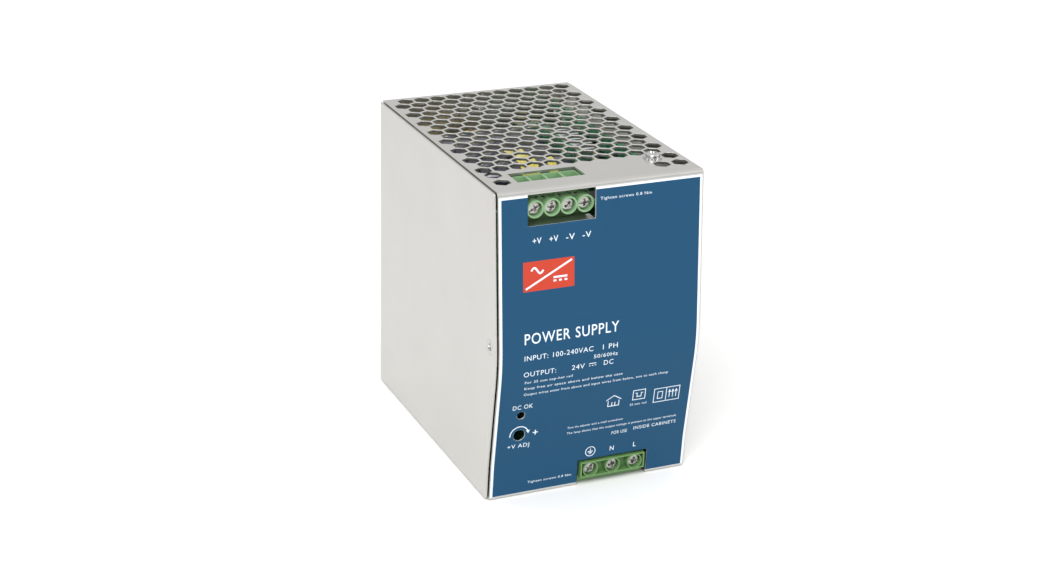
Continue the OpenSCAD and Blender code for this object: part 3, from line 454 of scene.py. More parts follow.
def shrink_sleeve(name, colour, stripe):
    """A capacitor's printed sleeve: a pale stripe and a glossy, slightly wavy film."""
    finish = Finish(name, colour, 0.22, coat_weight=0.4, coat_roughness=0.1)
    stripes = finish.between(finish.waves(22 * MM, "Z"), 0.0, 1.0, 0.93, 0.95)
    finish.paint(finish.mix(stripes, finish.shades(finish.noise(4 * MM, 3.0), 0.85, 1.15), stripe))
    finish.rough(finish.noise(2 * MM, 3.0), 0.16, 0.30)
    finish.relief(finish.noise(3 * MM, 2.0), 0.03 * MM, 0.4)
    return finish.material


def clear_film(name, colour):
    """Insulating film: milky and slightly creased."""
    finish = Finish(name, colour, 0.3, transmission_weight=0.35)
    finish.paint(finish.shades(finish.noise(20 * MM, 3.0), 0.9, 1.05))
    finish.relief(finish.noise(12 * MM, 2.0), 0.1 * MM, 0.4)
    finish.rough(finish.noise(6 * MM, 3.0), 0.22, 0.4)
    return finish.material


def lamp_resin(name, colour):
    """Diffusing resin of an unlit lamp."""
    finish = Finish(
        name, colour, 0.2,
        transmission_weight=0.25, subsurface_weight=0.4, subsurface_scale=0.8 * MM,
    )
    finish.paint(finish.shades(finish.noise(0.8 * MM, 3.0), 0.88, 1.12))
    finish.rough(finish.noise(0.6 * MM, 2.0), 0.14, 0.28)
    return finish.material


def once(maker, name, *values):
    """The material of that name, made the first time it is asked for."""
    return bpy.data.materials.get(name) or maker(name, *values)


# ---------- making pieces ----------


def keep(node, material, edge=0.0, segments=2):
    """A CAD node that stays in view, with its own finish and softened edges."""
    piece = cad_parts[node]
    mesh = piece.data
    mesh.materials.clear()
    mesh.materials.append(material)
    if edge > 0:
        mesh.attributes.remove(mesh.attributes["custom_normal"])
        mesh.shade_smooth()
        weld = piece.modifiers.new("Join corners", "WELD")
        weld.merge_threshold = 0.001 * MM
        flat = piece.modifiers.new("Merge flat faces", "DECIMATE")
        flat.decimate_type = "DISSOLVE"
        flat.angle_limit = FLAT_ANGLE
        bevel = piece.modifiers.new("Soften edges", "BEVEL")
        bevel.width = edge
        bevel.segments = segments
        bevel.limit_method = "ANGLE"
        bevel.angle_limit = SOFT_ANGLE
        normals = piece.modifiers.new("Shade by area", "WEIGHTED_NORMAL")
        normals.keep_sharp = False
    return piece


def placed(name, data):
    """A new object in the scene, of some mesh, curve, lamp or camera data."""
    made = bpy.data.objects.new(name, data)
    bpy.context.scene.collection.objects.link(made)
    return made


def add_piece(name, shape, material, body="case", stands_for=()):
    """A new piece from a bmesh, riding on a body."""
    bmesh.ops.recalc_face_normals(shape, faces=shape.faces[:])
    mesh = bpy.data.meshes.new(name)
    shape.to_mesh(mesh)
    shape.free()
    mesh.materials.append(material)
    mesh.shade_smooth()
    mesh.set_sharp_from_angle(angle=SHARP_ANGLE)
    piece = placed(name, mesh)
    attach(piece, body)
    if stands_for:
        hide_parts(*stands_for)
    return piece


def add_block(shape, low, high, radius):
    """A box, with rounded edges if it has a radius."""
    low, high = Vector(low), Vector(high)
    size = high - low
    matrix = Matrix.Translation((low + high) / 2) @ Matrix.Diagonal((*size, 1.0))
    made = bmesh.ops.create_cube(shape, size=1.0, matrix=matrix)
    edges = list({edge for vert in made["verts"] for edge in vert.link_edges})
    if radius > 0:
        bmesh.ops.bevel(
            shape, geom=edges, offset=min(radius, min(size) * 0.45), segments=2,
            profile=0.5, affect="EDGES",
        )


def add_turned(shape, profile, place, steps):
    """A profile of (radius, height) pairs turned about the Z axis of a placing matrix."""
    rings = []
    for radius, height in profile:
        if radius < 1e-9:
            rings.append([shape.verts.new(place @ Vector((0.0, 0.0, height)))])
            continue
        angles = [2 * math.pi * i / steps for i in range(steps)]
        rings.append([
            shape.verts.new(place @ Vector((radius * math.cos(a), radius * math.sin(a), height)))
            for a in angles
        ])
    for first, second in zip(rings, rings[1:]):
        for i in range(steps):
            j = (i + 1) % steps
            if len(first) == 1:
                shape.faces.new((first[0], second[i], second[j]))
            elif len(second) == 1:
                shape.faces.new((first[i], first[j], second[0]))
            else:
                shape.faces.new((first[i], first[j], second[j], second[i]))


def add_wire_loop(shape, path, radius, sides=8):
    """A closed loop of round wire along a path of points."""
    rings = []
    for i, point in enumerate(path):
        along = (path[(i + 1) % len(path)] - path[i - 1]).normalized()
        side = (side - along * side.dot(along)).normalized() if rings else along.orthogonal().normalized()
        up = along.cross(side)
        rings.append([
            shape.verts.new(point + radius * (side * math.cos(a) + up * math.sin(a)))
            for a in (2 * math.pi * k / sides for k in range(sides))
        ])
    for first, second in zip(rings, rings[1:] + rings[:1]):
        for k in range(sides):
            n = (k + 1) % sides
            shape.faces.new((first[k], first[n], second[n], second[k]))


def carved(shape, cutter):
    """A bmesh less another one, as a new bmesh."""
    holders = []
    for source in (shape, cutter):
        bmesh.ops.recalc_face_normals(source, faces=source.faces[:])
        mesh = bpy.data.meshes.new("carving")
        source.to_mesh(mesh)
        source.free()
        holders.append(placed("carving", mesh))
    cut = holders[0].modifiers.new("Cut", "BOOLEAN")
    cut.operation = "DIFFERENCE"
    cut.solver = "EXACT"
    cut.use_self = True
    cut.object = holders[1]
    graph = bpy.context.evaluated_depsgraph_get()
    result = bmesh.new()
    result.from_mesh(holders[0].evaluated_get(graph).data)
    for holder in holders:
        mesh = holder.data
        bpy.data.objects.remove(holder)
        bpy.data.meshes.remove(mesh)
    return result


def middle(node):
    low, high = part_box(node)
    return (low + high) / 2


# ---------- screws ----------


def recess_cutter(span, width, depth, slot_width=0.0, slot_span=0.0):
    """A tapered cross, and a plain slot if it has a width, cut from Z = 0 downwards."""
    cutter = bmesh.new()
    rise = 0.2 * MM
    for turn in (0.0, math.pi / 2):
        top = [(-span / 2, -width / 2), (span / 2, -width / 2), (span / 2, width / 2), (-span / 2, width / 2)]
        spin = Matrix.Rotation(turn, 4, "Z")
        upper = [cutter.verts.new(spin @ Vector((x, y, rise))) for x, y in top]
        lower = [cutter.verts.new(spin @ Vector((x * 0.35, y * 0.7, -depth))) for x, y in top]
        cutter.faces.new(upper)
        cutter.faces.new(lower[::-1])
        for i in range(4):
            j = (i + 1) % 4
            cutter.faces.new((upper[i], lower[i], lower[j], upper[j]))
    if slot_width > 0:
        half = slot_span / 2
        add_block(cutter, (-half, -slot_width / 2, -depth * 0.55), (half, slot_width / 2, rise), 0.0)
    return cutter


def screw_head(profile, span, width, depth, steps, slot_width=0.0, slot_span=0.0):
    """A turned head with its top at Z = 0 and a recess in it, as a mesh to be copied."""
    head = bmesh.new()
    add_turned(head, profile, Matrix(), steps)
    head = carved(head, recess_cutter(span, width, depth, slot_width, slot_span))
    mesh = bpy.data.meshes.new("screw head")
    head.to_mesh(mesh)
    head.free()
    return mesh


def add_copy(shape, mesh, place):
    """A copy of a mesh at a place, added to a bmesh."""
    before = len(shape.verts)
    shape.from_mesh(mesh)
    shape.verts.ensure_lookup_table()
    bmesh.ops.transform(shape, matrix=place, verts=shape.verts[before:])


def facing(direction, point, turn=0.0):
    """Places a screw made along Z so that its head faces a direction at a point."""
    aim = Vector(direction).to_track_quat("Z", "Y").to_matrix().to_4x4()
    return Matrix.Translation(point) @ aim @ Matrix.Rotation(turn, 4, "Z")


# ---------- label ----------


def front_skin():
    """The label's outer surface: a function from height to depth."""
    low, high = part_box("front_label")
    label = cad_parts["front_label"]
    tree = BVHTree.FromPolygons(
        [v.co for v in label.data.vertices], [p.vertices for p in label.data.polygons]
    )
    x = low.x + 0.3 * MM

    def depth_at(z):
        z = min(max(z, low.z + 0.01 * MM), high.z - 0.01 * MM)
        found = tree.ray_cast(Vector((x, low.y - 10 * MM, z)), Vector((0.0, 1.0, 0.0)))
        return found[0].y

    return depth_at


def flat_faces(curve):
    """The filled faces of a flat curve or a text, as a bmesh in X and Y."""
    holder = placed("flat", curve)
    graph = bpy.context.evaluated_depsgraph_get()
    mesh = bpy.data.meshes.new_from_object(holder.evaluated_get(graph))
    shape = bmesh.new()
    shape.from_mesh(mesh)
    bpy.data.objects.remove(holder)
    bpy.data.meshes.remove(mesh)
    bmesh.ops.remove_doubles(shape, verts=shape.verts[:], dist=0.001 * MM)
    return shape


def outline_faces(outline, holes=()):
    """A flat sheet with round holes, each given as (x, z, radius)."""
    curve = bpy.data.curves.new("outline", "CURVE")
    curve.dimensions = "2D"
    curve.fill_mode = "BOTH"
    loops = [outline]
    for x, z, radius in holes:
        angles = [2 * math.pi * i / 48 for i in range(48)]
        loops.append([(x + radius * math.cos(a), z + radius * math.sin(a)) for a in angles])
    for loop in loops:
        spline = curve.splines.new("POLY")
        spline.points.add(len(loop) - 1)
        for point, (x, z) in zip(spline.points, loop):
            point.co = (x, z, 0.0, 1.0)
        spline.use_cyclic_u = True
    shape = flat_faces(curve)
    bpy.data.curves.remove(curve)
    return shape


def wrap_on_front(flat, depth_at, inner, outer):
    """Gives a flat sheet a thickness and lays it on the bowed front, between two heights over its surface."""
    heights = [v.co.y for v in flat.verts]
    step = 1.5 * MM
    row = math.floor(min(heights) / step) + 1
    while row * step < max(heights):
        bmesh.ops.bisect_plane(
            flat, geom=flat.verts[:] + flat.edges[:] + flat.faces[:], dist=1e-7,
            plane_co=(0.0, row * step, 0.0), plane_no=(0.0, 1.0, 0.0),
        )
        row += 1
    made = bmesh.ops.extrude_face_region(flat, geom=flat.faces[:])
    raised = {v for v in made["geom"] if isinstance(v, bmesh.types.BMVert)}
    for vert in flat.verts:
        x, z = vert.co.x, vert.co.y
        lift = outer if vert in raised else inner
        vert.co = (x, depth_at(z) - lift, z)
    return flat


def stroke(shape, points, width, closed=False):
    """A flat line of a given width along points in X and Z, with mitred corners."""
    count = len(points)
    left, right = [], []
    for i in range(count):
        here = Vector(points[i])
        before = Vector(points[i - 1]) if closed or i > 0 else None
        after = Vector(points[(i + 1) % count]) if closed or i < count - 1 else None
        legs = ((before, here), (here, after))
        ways = [(b - a).normalized() for a, b in legs if a is not None and b is not None]
        normals = [Vector((-way.y, way.x)) for way in ways]
        mean = sum(normals, Vector((0.0, 0.0))).normalized()
        reach = width / 2 / max(0.4, mean.dot(normals[0]))
        left.append(shape.verts.new((*(here + mean * reach), 0.0)))
        right.append(shape.verts.new((*(here - mean * reach), 0.0)))
    for i in range(count if closed else count - 1):
        j = (i + 1) % count
        shape.faces.new((left[i], right[i], right[j], left[j]))


def arc(centre, radius, start, end, steps=24):
    """Points of an arc, angles in degrees."""
    angles = [math.radians(start + (end - start) * i / steps) for i in range(steps + 1)]
    return [(centre[0] + radius * math.cos(a), centre[1] + radius * math.sin(a)) for a in angles]


def ring(centre, radius, steps=40):
    return arc(centre, radius, 0.0, 360.0, steps)[:-1]


def words(shape, text, left, right, base, cap, weight=0.0):
    """Adds a line of print whose capitals have a given height, fitted between two places."""
    curve = bpy.data.curves.new("words", "FONT")
    curve.body = text
    curve.size = cap / 0.73
    curve.offset = weight
    curve.resolution_u = 3
    curve.space_character = 1.12
    flat = flat_faces(curve)
    bpy.data.curves.remove(curve)
    low = min(v.co.x for v in flat.verts)
    high = max(v.co.x for v in flat.verts)
    stretch = (right - left) / (high - low)
    for vert in flat.verts:
        vert.co.x = left + (vert.co.x - low) * stretch
        vert.co.y += base
        vert.co.z = 0.0
    mesh = bpy.data.meshes.new("words")
    flat.to_mesh(mesh)
    flat.free()
    shape.from_mesh(mesh)
    bpy.data.meshes.remove(mesh)


def front_layout():
    """Places on the front that the frame gives, all in metres."""
    low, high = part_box("front_label")
    out_low, out_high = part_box("output_terminal_housing")
    in_low, in_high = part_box("input_terminal_housing")
    rotor, lamp = middle("adjuster_rotor"), middle("status_lamp")
    return {
        "left": low.x, "right": high.x, "foot": low.z, "head": high.z,
        "output_left": out_low.x - WINDOW_MARGIN, "output_right": out_high.x + WINDOW_MARGIN,
        "output_foot": frame_height() - WINDOW_DROP,
        "input_left": in_low.x - NOTCH_MARGIN, "input_right": in_high.x + NOTCH_MARGIN,
        "input_head": NOTCH_HEAD,
        "adjuster": (rotor.x, rotor.z), "lamp": (lamp.x, lamp.z),
        "output_poles": [middle(f"output_screw_{i + 1}").x for i in range(OUTPUT_POLES)],
        "input_poles": [middle(f"input_screw_{i + 1}").x for i in range(INPUT_POLES)],
    }


def frame_height():
    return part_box("front_chassis")[1].z


def label_outline(place, side, foot, head):
    """Outline of a sheet on the front, with the two terminal notches."""
    left, right = place["left"] + side, place["right"] - side
    return [
        (left, foot), (place["input_left"], foot), (place["input_left"], place["input_head"]),
        (place["input_right"], place["input_head"]), (place["input_right"], foot), (right, foot),
        (right, head), (place["output_right"], head), (place["output_right"], place["output_foot"]),
        (place["output_left"], place["output_foot"]), (place["output_left"], head), (left, head),
    ]


def label_holes(place, grow=0.0):
    return [(*place["adjuster"], ADJUSTER_HOLE + grow), (*place["lamp"], LAMP_HOLE + grow)]


def badge_marks(shape, left, right, foot, head):
    """Plain converter symbol: a wave above a diagonal, and direct-current bars below it."""
    line = 0.75 * MM
    stroke(shape, [(left, foot), (right, head)], line)
    wide, tall = right - left, head - foot
    wave = [
        (left + wide * (0.12 + 0.26 * i / 16), foot + tall * (0.72 + 0.12 * math.sin(2 * math.pi * i / 16)))
        for i in range(17)
    ]
    stroke(shape, wave, line)
    start, end = left + wide * 0.60, left + wide * 0.90
    stroke(shape, [(start, foot + tall * 0.36), (end, foot + tall * 0.36)], line)
    gap = (end - start) / 5
    for i in (0, 2, 4):
        dash = start + gap * i
        stroke(shape, [(dash, foot + tall * 0.22), (dash + gap, foot + tall * 0.22)], line)


def house_mark(shape, x, z, wide, tall):
    """Pictogram of a house with a door: for use indoors."""
    line = 0.32 * MM
    eaves = z + tall * 0.58
    stroke(shape, [(x, eaves), (x + wide * 0.5, z + tall), (x + wide, eaves)], line)
    stroke(shape, [
        (x + wide * 0.14, eaves - line), (x + wide * 0.14, z),
        (x + wide * 0.86, z), (x + wide * 0.86, eaves - line),
    ], line)
    for share in (0.4, 0.6):
        stroke(shape, [(x + wide * share, z + line / 2), (x + wide * share, z + tall * 0.36)], line)


def rail_mark(shape, x, z, radius):
    """Pictogram of a top-hat rail's section in a frame."""
    line = 0.3 * MM
    stroke(shape, [
        (x - radius, z - radius * 0.8), (x + radius, z - radius * 0.8),
        (x + radius, z + radius * 0.8), (x - radius, z + radius * 0.8),
    ], line, closed=True)
    wide, tall = radius * 0.62, radius * 0.3
    stroke(shape, [
        (x - wide, z + tall), (x - wide * 0.55, z + tall), (x - wide * 0.55, z - tall),
        (x + wide * 0.55, z - tall), (x + wide * 0.55, z + tall), (x + wide, z + tall),
    ], line)


def air_mark(shape, left, right, foot, head):
    """Pictogram of a case in a frame with air flowing up beside it."""
    line = 0.28 * MM
    split = left + (right - left) * 0.48
    stroke(shape, [(left, foot), (right, foot), (right, head), (left, head)], line, closed=True)
    stroke(shape, [(split, foot), (split, head)], line)
    tall = head - foot
    block_left, block_right = left + 1.6 * MM, split - 1.6 * MM
    stroke(shape, [
        (block_left, foot + tall * 0.25), (block_right, foot + tall * 0.25),
        (block_right, foot + tall * 0.75), (block_left, foot + tall * 0.75),
    ], line, closed=True)
    for i in range(3):
        x = split + (right - split) * (0.25 + 0.25 * i)
        stroke(shape, [(x, foot + tall * 0.22), (x, foot + tall * 0.72)], line)
        wing = foot + tall * 0.6
        stroke(shape, [(x - 0.5 * MM, wing), (x, foot + tall * 0.78), (x + 0.5 * MM, wing)], line)


def earth_mark(shape, x, z, radius):
    """Earth symbol in a ring."""
    line = 0.3 * MM
    stroke(shape, ring((x, z), radius), line, closed=True)
    stroke(shape, [(x, z + radius * 0.62), (x, z)], line)
    for i, half in enumerate((0.58, 0.38, 0.18)):
        level = z - radius * 0.25 * i
        stroke(shape, [(x - radius * half, level), (x + radius * half, level)], line)


def adjuster_mark(shape, x, z):
    """Arc with an arrow head over the adjuster, and a plus sign beside it."""
    radius, line = 3.8 * MM, 0.4 * MM
    sweep = arc((x, z), radius, 185.0, 24.0)
    stroke(shape, sweep, line)
    end = Vector(sweep[-1])
    tip = end + Vector((0.25, -1.25)) * MM
    sides = [end + Vector((-0.75, 0.15)) * MM, end + Vector((0.85, 0.25)) * MM]
    shape.faces.new([shape.verts.new((*point, 0.0)) for point in (tip, *sides)])
    plus, reach = (x + 6.7 * MM, z + 0.2 * MM), 1.05 * MM
    stroke(shape, [(plus[0] - reach, plus[1]), (plus[0] + reach, plus[1])], line)
    stroke(shape, [(plus[0], plus[1] - reach), (plus[0], plus[1] - line / 2)], line)
    stroke(shape, [(plus[0], plus[1] + line / 2), (plus[0], plus[1] + reach)], line)


def print_lines(shape, lines, left):
    """Adds lines of print whose ends are given from a place on the front."""
    for text, start, end, base, cap, weight in lines:
        words(shape, text, left + start * MM, left + end * MM, base * MM, cap * MM, weight * MM)


def large_print(shape, place):
    """Names of the terminals and controls, and what goes in and out."""
    left = place["left"] + RATING_LEFT
    for pole, text in zip(place["output_poles"], POLE_MARKS):
        words(shape, text, pole - 1.75 * MM, pole + 1.75 * MM, POLE_MARK_BASE, 2.4 * MM, BOLD)
    print_lines(shape, RATINGS, left)
    direct, line = left + 26.8 * MM, 0.3 * MM
    stroke(shape, [(direct, 54.5 * MM), (direct + 3.0 * MM, 54.5 * MM)], line)
    for i in range(3):
        dash = direct + 1.2 * MM * i
        stroke(shape, [(dash, 53.6 * MM), (dash + 0.6 * MM, 53.6 * MM)], line)
    lamp_x, lamp_z = place["lamp"]
    adjuster_x, adjuster_z = place["adjuster"]
    words(shape, "DC OK", lamp_x - 3.6 * MM, lamp_x + 4.6 * MM, lamp_z + 2.8 * MM, 1.9 * MM)
    words(shape, "+V ADJ", adjuster_x - 4.4 * MM, adjuster_x + 4.6 * MM, adjuster_z - 5.6 * MM, 1.8 * MM)
    earth, neutral, live = place["input_poles"]
    earth_mark(shape, earth - 0.4 * MM, INPUT_MARK_BASE + 1.2 * MM, 2.05 * MM)
    words(shape, "N", neutral - 1.5 * MM, neutral + 0.2 * MM, INPUT_MARK_BASE, 2.1 * MM, BOLD)
    words(shape, "L", live - 0.9 * MM, live + 0.3 * MM, INPUT_MARK_BASE, 2.1 * MM, BOLD)
    adjuster_mark(shape, adjuster_x, adjuster_z)


def fine_print(shape, place):
    """Small plain notes and pictograms."""
    print_lines(shape, LEFT_NOTES, place["left"] + LEFT_NOTES_LEFT)
    print_lines(shape, MIDDLE_NOTES, 0.0)
    house_mark(shape, 4.4 * MM, 33.8 * MM, 6.4 * MM, 4.6 * MM)
    rail_mark(shape, 18.4 * MM, 37.0 * MM, 2.6 * MM)
    words(shape, "35 mm rail", 14.8 * MM, 22.0 * MM, 32.4 * MM, 1.0 * MM)
    air_mark(shape, 25.0 * MM, 36.0 * MM, 32.2 * MM, 38.2 * MM)


# ---------- settings in use ----------


def chosen(group):
    return getattr(bpy.context.scene, "power_supply_" + group)


def screw_material():
    screws = chosen("screws")
    return once(plated_steel, "screw steel", screws.colour, screws.roughness)


def tin_material():
    return once(plated_steel, "tinned copper", chosen("terminals").contact_colour, 0.3)


def brass_material():
    return once(plated_steel, "turned brass", chosen("controls").brass_colour, 0.28)


def epoxy_material():
    return once(moulded_plastic, "device epoxy", chosen("inside").epoxy_colour, 0.5)


def case_material():
    sheet = chosen("sheet")
    return once(sheet_steel, "bare sheet steel", sheet.colour, sheet.roughness)


class POWERSUPPLY_OT_case(Operator):
    """Finish the two bent sheets of the case"""

    bl_idname = "powersupply.case"
    bl_label = "Case"
    bl_options = {"REGISTER", "UNDO"}

    def execute(self, context):
        edge = chosen("sheet").edge
        keep("front_chassis", case_material(), edge)
        keep("rear_cover", case_material(), edge)
        return {"FINISHED"}


class POWERSUPPLY_OT_label(Operator):
    """Lay the printed label with its pale border on the bowed front"""

    bl_idname = "powersupply.label"
    bl_label = "Label"
    bl_options = {"REGISTER", "UNDO"}

    def execute(self, context):
        label = chosen("label")
        place = front_layout()
        depth_at = front_skin()
        step = label.print_step
        top = place["head"] - 0.1 * MM
        base = outline_faces(label_outline(place, 0.0, place["foot"], top), label_holes(place))
        wrap_on_front(base, depth_at, -0.19 * MM, -2 * step)
        border = once(printed_film, "pale print", label.border_colour, 0.42)
        add_piece("label_sheet", base, border, stands_for=["front_label"])
        outline = label_outline(
            place, label.side_border, place["foot"] + label.foot_border, top - label.top_border
        )
        field = outline_faces(outline, label_holes(place, 0.05 * MM))
        wrap_on_front(field, depth_at, -2 * step, -step)
        blue = once(printed_film, "blue print", label.field_colour, 0.40)
        add_piece("label_field", field, blue)
        return {"FINISHED"}


class POWERSUPPLY_OT_print(Operator):
    """Print the marks, notes and plain badge on the label"""

    bl_idname = "powersupply.print"
    bl_label = "Print"
    bl_options = {"REGISTER", "UNDO"}

    def execute(self, context):
        label = chosen("label")
        place = front_layout()
        depth_at = front_skin()
        step = label.print_step
        white = once(printed_film, "white print", label.mark_colour, 0.45)
        large = bmesh.new()
        large_print(large, place)
        add_piece(
            "label_marks", wrap_on_front(large, depth_at, -step, -0.2 * step), white
        )
        fine = bmesh.new()
        fine_print(fine, place)
        add_piece(
            "label_notes", wrap_on_front(fine, depth_at, -step, -0.3 * step), white
        )
        left, right, foot, head = BADGE
        badge = outline_faces([(left, foot), (right, foot), (right, head), (left, head)])
        red = once(printed_film, "badge print", label.badge_colour, 0.40)
        add_piece(
            "label_badge", wrap_on_front(badge, depth_at, -step, -0.6 * step), red
        )
        symbol = bmesh.new()
        badge_marks(
            symbol, left + BADGE_MARGIN, right - BADGE_MARGIN, foot + BADGE_MARGIN, head - BADGE_MARGIN
        )
        add_piece(
            "label_badge_symbol", wrap_on_front(symbol, depth_at, -0.6 * step, -0.1 * step), white,
        )
        return {"FINISHED"}


class POWERSUPPLY_OT_case_screws(Operator):
    """Fit the countersunk screws, the pan-head screw and its toothed washer"""

    bl_idname = "powersupply.case_screws"
    bl_label = "Case screws"
    bl_options = {"REGISTER", "UNDO"}

    def execute(self, context):
        screws = chosen("screws")
        radius, shank, length = FLAT_HEAD_RADIUS, SHANK_RADIUS, FLAT_SCREW_LENGTH
        flat_profile = [
            (0.0, 0.0), (radius - 0.12 * MM, 0.0), (radius, -0.1 * MM), (shank, -1.5 * MM),
            (shank, 0.3 * MM - length), (shank * 0.7, -length), (0.0, -length),
        ]
        flat = screw_head(
            flat_profile, 2 * radius * screws.recess_span, 2 * radius * screws.recess_width,
            1.1 * MM, screws.steps,
        )
        heads = bmesh.new()
        low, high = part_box("case_screws")
        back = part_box("rear_cover")[1].y
        side_y, side_z = side_screw_place()
        for x, side in ((low.x, -1.0), (high.x, 1.0)):
            add_copy(heads, flat, facing((side, 0.0, 0.0), (x, side_y, side_z), 0.4 * side))
        for i, z in enumerate((BACK_SCREW_INSET, frame_height() - BACK_SCREW_INSET)):
            add_copy(heads, flat, facing((0.0, 1.0, 0.0), (0.0, back, z), 0.3 + i))
        add_piece("case_screw_set", heads, screw_material(), stands_for=["case_screws"])

        low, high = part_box("top_screw")
        head_radius, height = (high.x - low.x) / 2, PAN_HEAD_HEIGHT
        dome = [(0.0, 0.0)]
        for i in range(1, 9):
            angle = math.pi / 2 * i / 8
            dome.append((head_radius * math.sin(angle) ** 0.8, -height * 0.55 * (1 - math.cos(angle))))
        dome += [
            (head_radius, -height), (shank, -height), (shank, low.z - high.z + 0.4 * MM),
            (shank * 0.6, low.z - high.z), (0.0, low.z - high.z),
        ]
        pan = screw_head(
            dome, 2 * head_radius * screws.recess_span, 2 * head_radius * screws.recess_width,
            1.25 * MM, screws.steps,
        )
        top = bmesh.new()
        centre = middle("top_screw")
        add_copy(top, pan, facing((0.0, 0.0, 1.0), (centre.x, centre.y, high.z), 0.5))
        bright = once(plated_steel, "bright screw steel", screws.colour, 0.12)
        add_piece("top_pan_screw", top, bright, stands_for=["top_screw"])
        keep("top_washer", bright, 0.06 * MM)
        return {"FINISHED"}


def side_screw_place():
    """Depth and height of the screws in the two side plates."""
    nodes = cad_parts["case_screws"].data.vertices
    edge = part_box("case_screws")[0].x + 0.05 * MM
    rim = [v.co for v in nodes if v.co.x < edge]
    return (
        (min(p.y for p in rim) + max(p.y for p in rim)) / 2,
        (min(p.z for p in rim) + max(p.z for p in rim)) / 2,
    )


class POWERSUPPLY_OT_terminals(Operator):
    """Finish the two moulded terminal blocks and their contacts"""

    bl_idname = "powersupply.terminals"
    bl_label = "Terminal blocks"
    bl_options = {"REGISTER", "UNDO"}

    def execute(self, context):
        terminals = chosen("terminals")
        output = once(moulded_plastic, "output block green", terminals.output_colour, 0.34, 0.15)
        # The input block's darker green is painted shade: the same plastic as the output block, made darker.
        supply = once(moulded_plastic, "input block green", terminals.input_shaded_colour, 0.36, 0.12)
        keep("output_terminal_housing", output, terminals.edge)
        keep("input_terminal_housing", supply, terminals.edge)
        keep("output_contacts", tin_material(), 0.08 * MM)
        keep("input_contacts", tin_material(), 0.08 * MM)
        return {"FINISHED"}


class POWERSUPPLY_OT_clamps(Operator):
    """Make the clamp screws with their recesses, and finish the clamp cages"""

    bl_idname = "powersupply.clamps"
    bl_label = "Clamps"
    bl_options = {"REGISTER", "UNDO"}

    def execute(self, context):
        screws = chosen("screws")
        low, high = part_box("output_screw_1")
        head, shank, length = (high.x - low.x) / 2, SHANK_RADIUS, high.y - low.y
        height, rim = CLAMP_HEAD_HEIGHT, 0.25 * MM
        profile = [
            (0.0, 0.0), (head - rim, 0.0), (head - rim * 0.3, -rim * 0.3), (head, -rim), (head, -height),
            (shank, -height), (shank, 0.3 * MM - length), (shank - 0.3 * MM, -length), (0.0, -length),
        ]
        mesh = screw_head(
            profile, 2 * head * screws.recess_span, 2 * head * screws.recess_width, 1.3 * MM,
            screws.steps, CLAMP_SLOT_WIDTH, 2 * head * 0.9,
        )
        terminals = chosen("terminals")
        zinc = once(plated_steel, "clamp steel", terminals.clamp_colour, terminals.clamp_roughness)
        names = [("output", i + 1) for i in range(OUTPUT_POLES)]
        names += [("input", i + 1) for i in range(INPUT_POLES)]
        for turn, (side, number) in enumerate(names):
            body = f"{side}_screw_{number}"
            centre = middle(body)
            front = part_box(body)[0].y
            shape = bmesh.new()
            add_copy(shape, mesh, facing((0.0, -1.0, 0.0), (centre.x, front, centre.z), 0.5 + 0.9 * turn))
            add_piece(f"{side}_clamp_screw_{number}", shape, zinc, body, [body])
            keep(f"{side}_cage_{number}", zinc, 0.1 * MM)
        return {"FINISHED"}


class POWERSUPPLY_OT_controls(Operator):
    """Finish the lamp and the adjuster behind the front's two holes"""

    bl_idname = "powersupply.controls"
    bl_label = "Lamp and adjuster"
    bl_options = {"REGISTER", "UNDO"}

    def execute(self, context):
        controls = chosen("controls")
        keep("status_lamp", once(lamp_resin, "lamp resin", controls.lamp_colour))
        body = once(moulded_plastic, "adjuster plastic", controls.adjuster_colour, 0.4)
        keep("adjuster_body", body, 0.25 * MM)
        keep("adjuster_rotor", brass_material(), 0.12 * MM)
        return {"FINISHED"}


class POWERSUPPLY_OT_rail_clip(Operator):
    """Finish the fixed hooks, the sliding latch, its straps, spring and rivets"""

    bl_idname = "powersupply.rail_clip"
    bl_label = "Rail clip"
    bl_options = {"REGISTER", "UNDO"}

    def execute(self, context):
        sheet = chosen("sheet")
        clip = once(sheet_steel, "clip steel", sheet.clip_colour, 0.34)
        for node in ("rail_bracket", "rail_latch", "latch_straps"):
            keep(node, clip, sheet.clip_edge)
        keep("clip_rivets", once(plated_steel, "rivet steel", sheet.rivet_colour, 0.3), 0.3 * MM, 3)
        keep("latch_spring", once(plated_steel, "spring wire", sheet.spring_colour, 0.25))
        return {"FINISHED"}


# ---------- inside ----------


def board_parts(shape, node, count, spread, seed):
    """Small soldered parts in rows on a board's left face."""
    low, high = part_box(node)
    for i in range(count):
        first = math.sin(seed + i * 12.9898) * 43758.5453
        second = math.sin(seed + i * 78.233) * 12543.123
        y_share, z_share = first - math.floor(first), second - math.floor(second)
        long_side = (1.6 + 1.8 * (i % 3)) * MM
        short_side = (0.8 + 0.6 * (i % 3)) * MM
        y = low.y + 4 * MM + (high.y - low.y - 12 * MM) * y_share
        z = high.z - 2.5 * MM - spread * z_share
        add_block(
            shape, (low.x - (0.5 + 0.4 * (i % 3)) * MM, y, z - short_side),
            (low.x + 0.02 * MM, y + long_side, z), 0.12 * MM,
        )


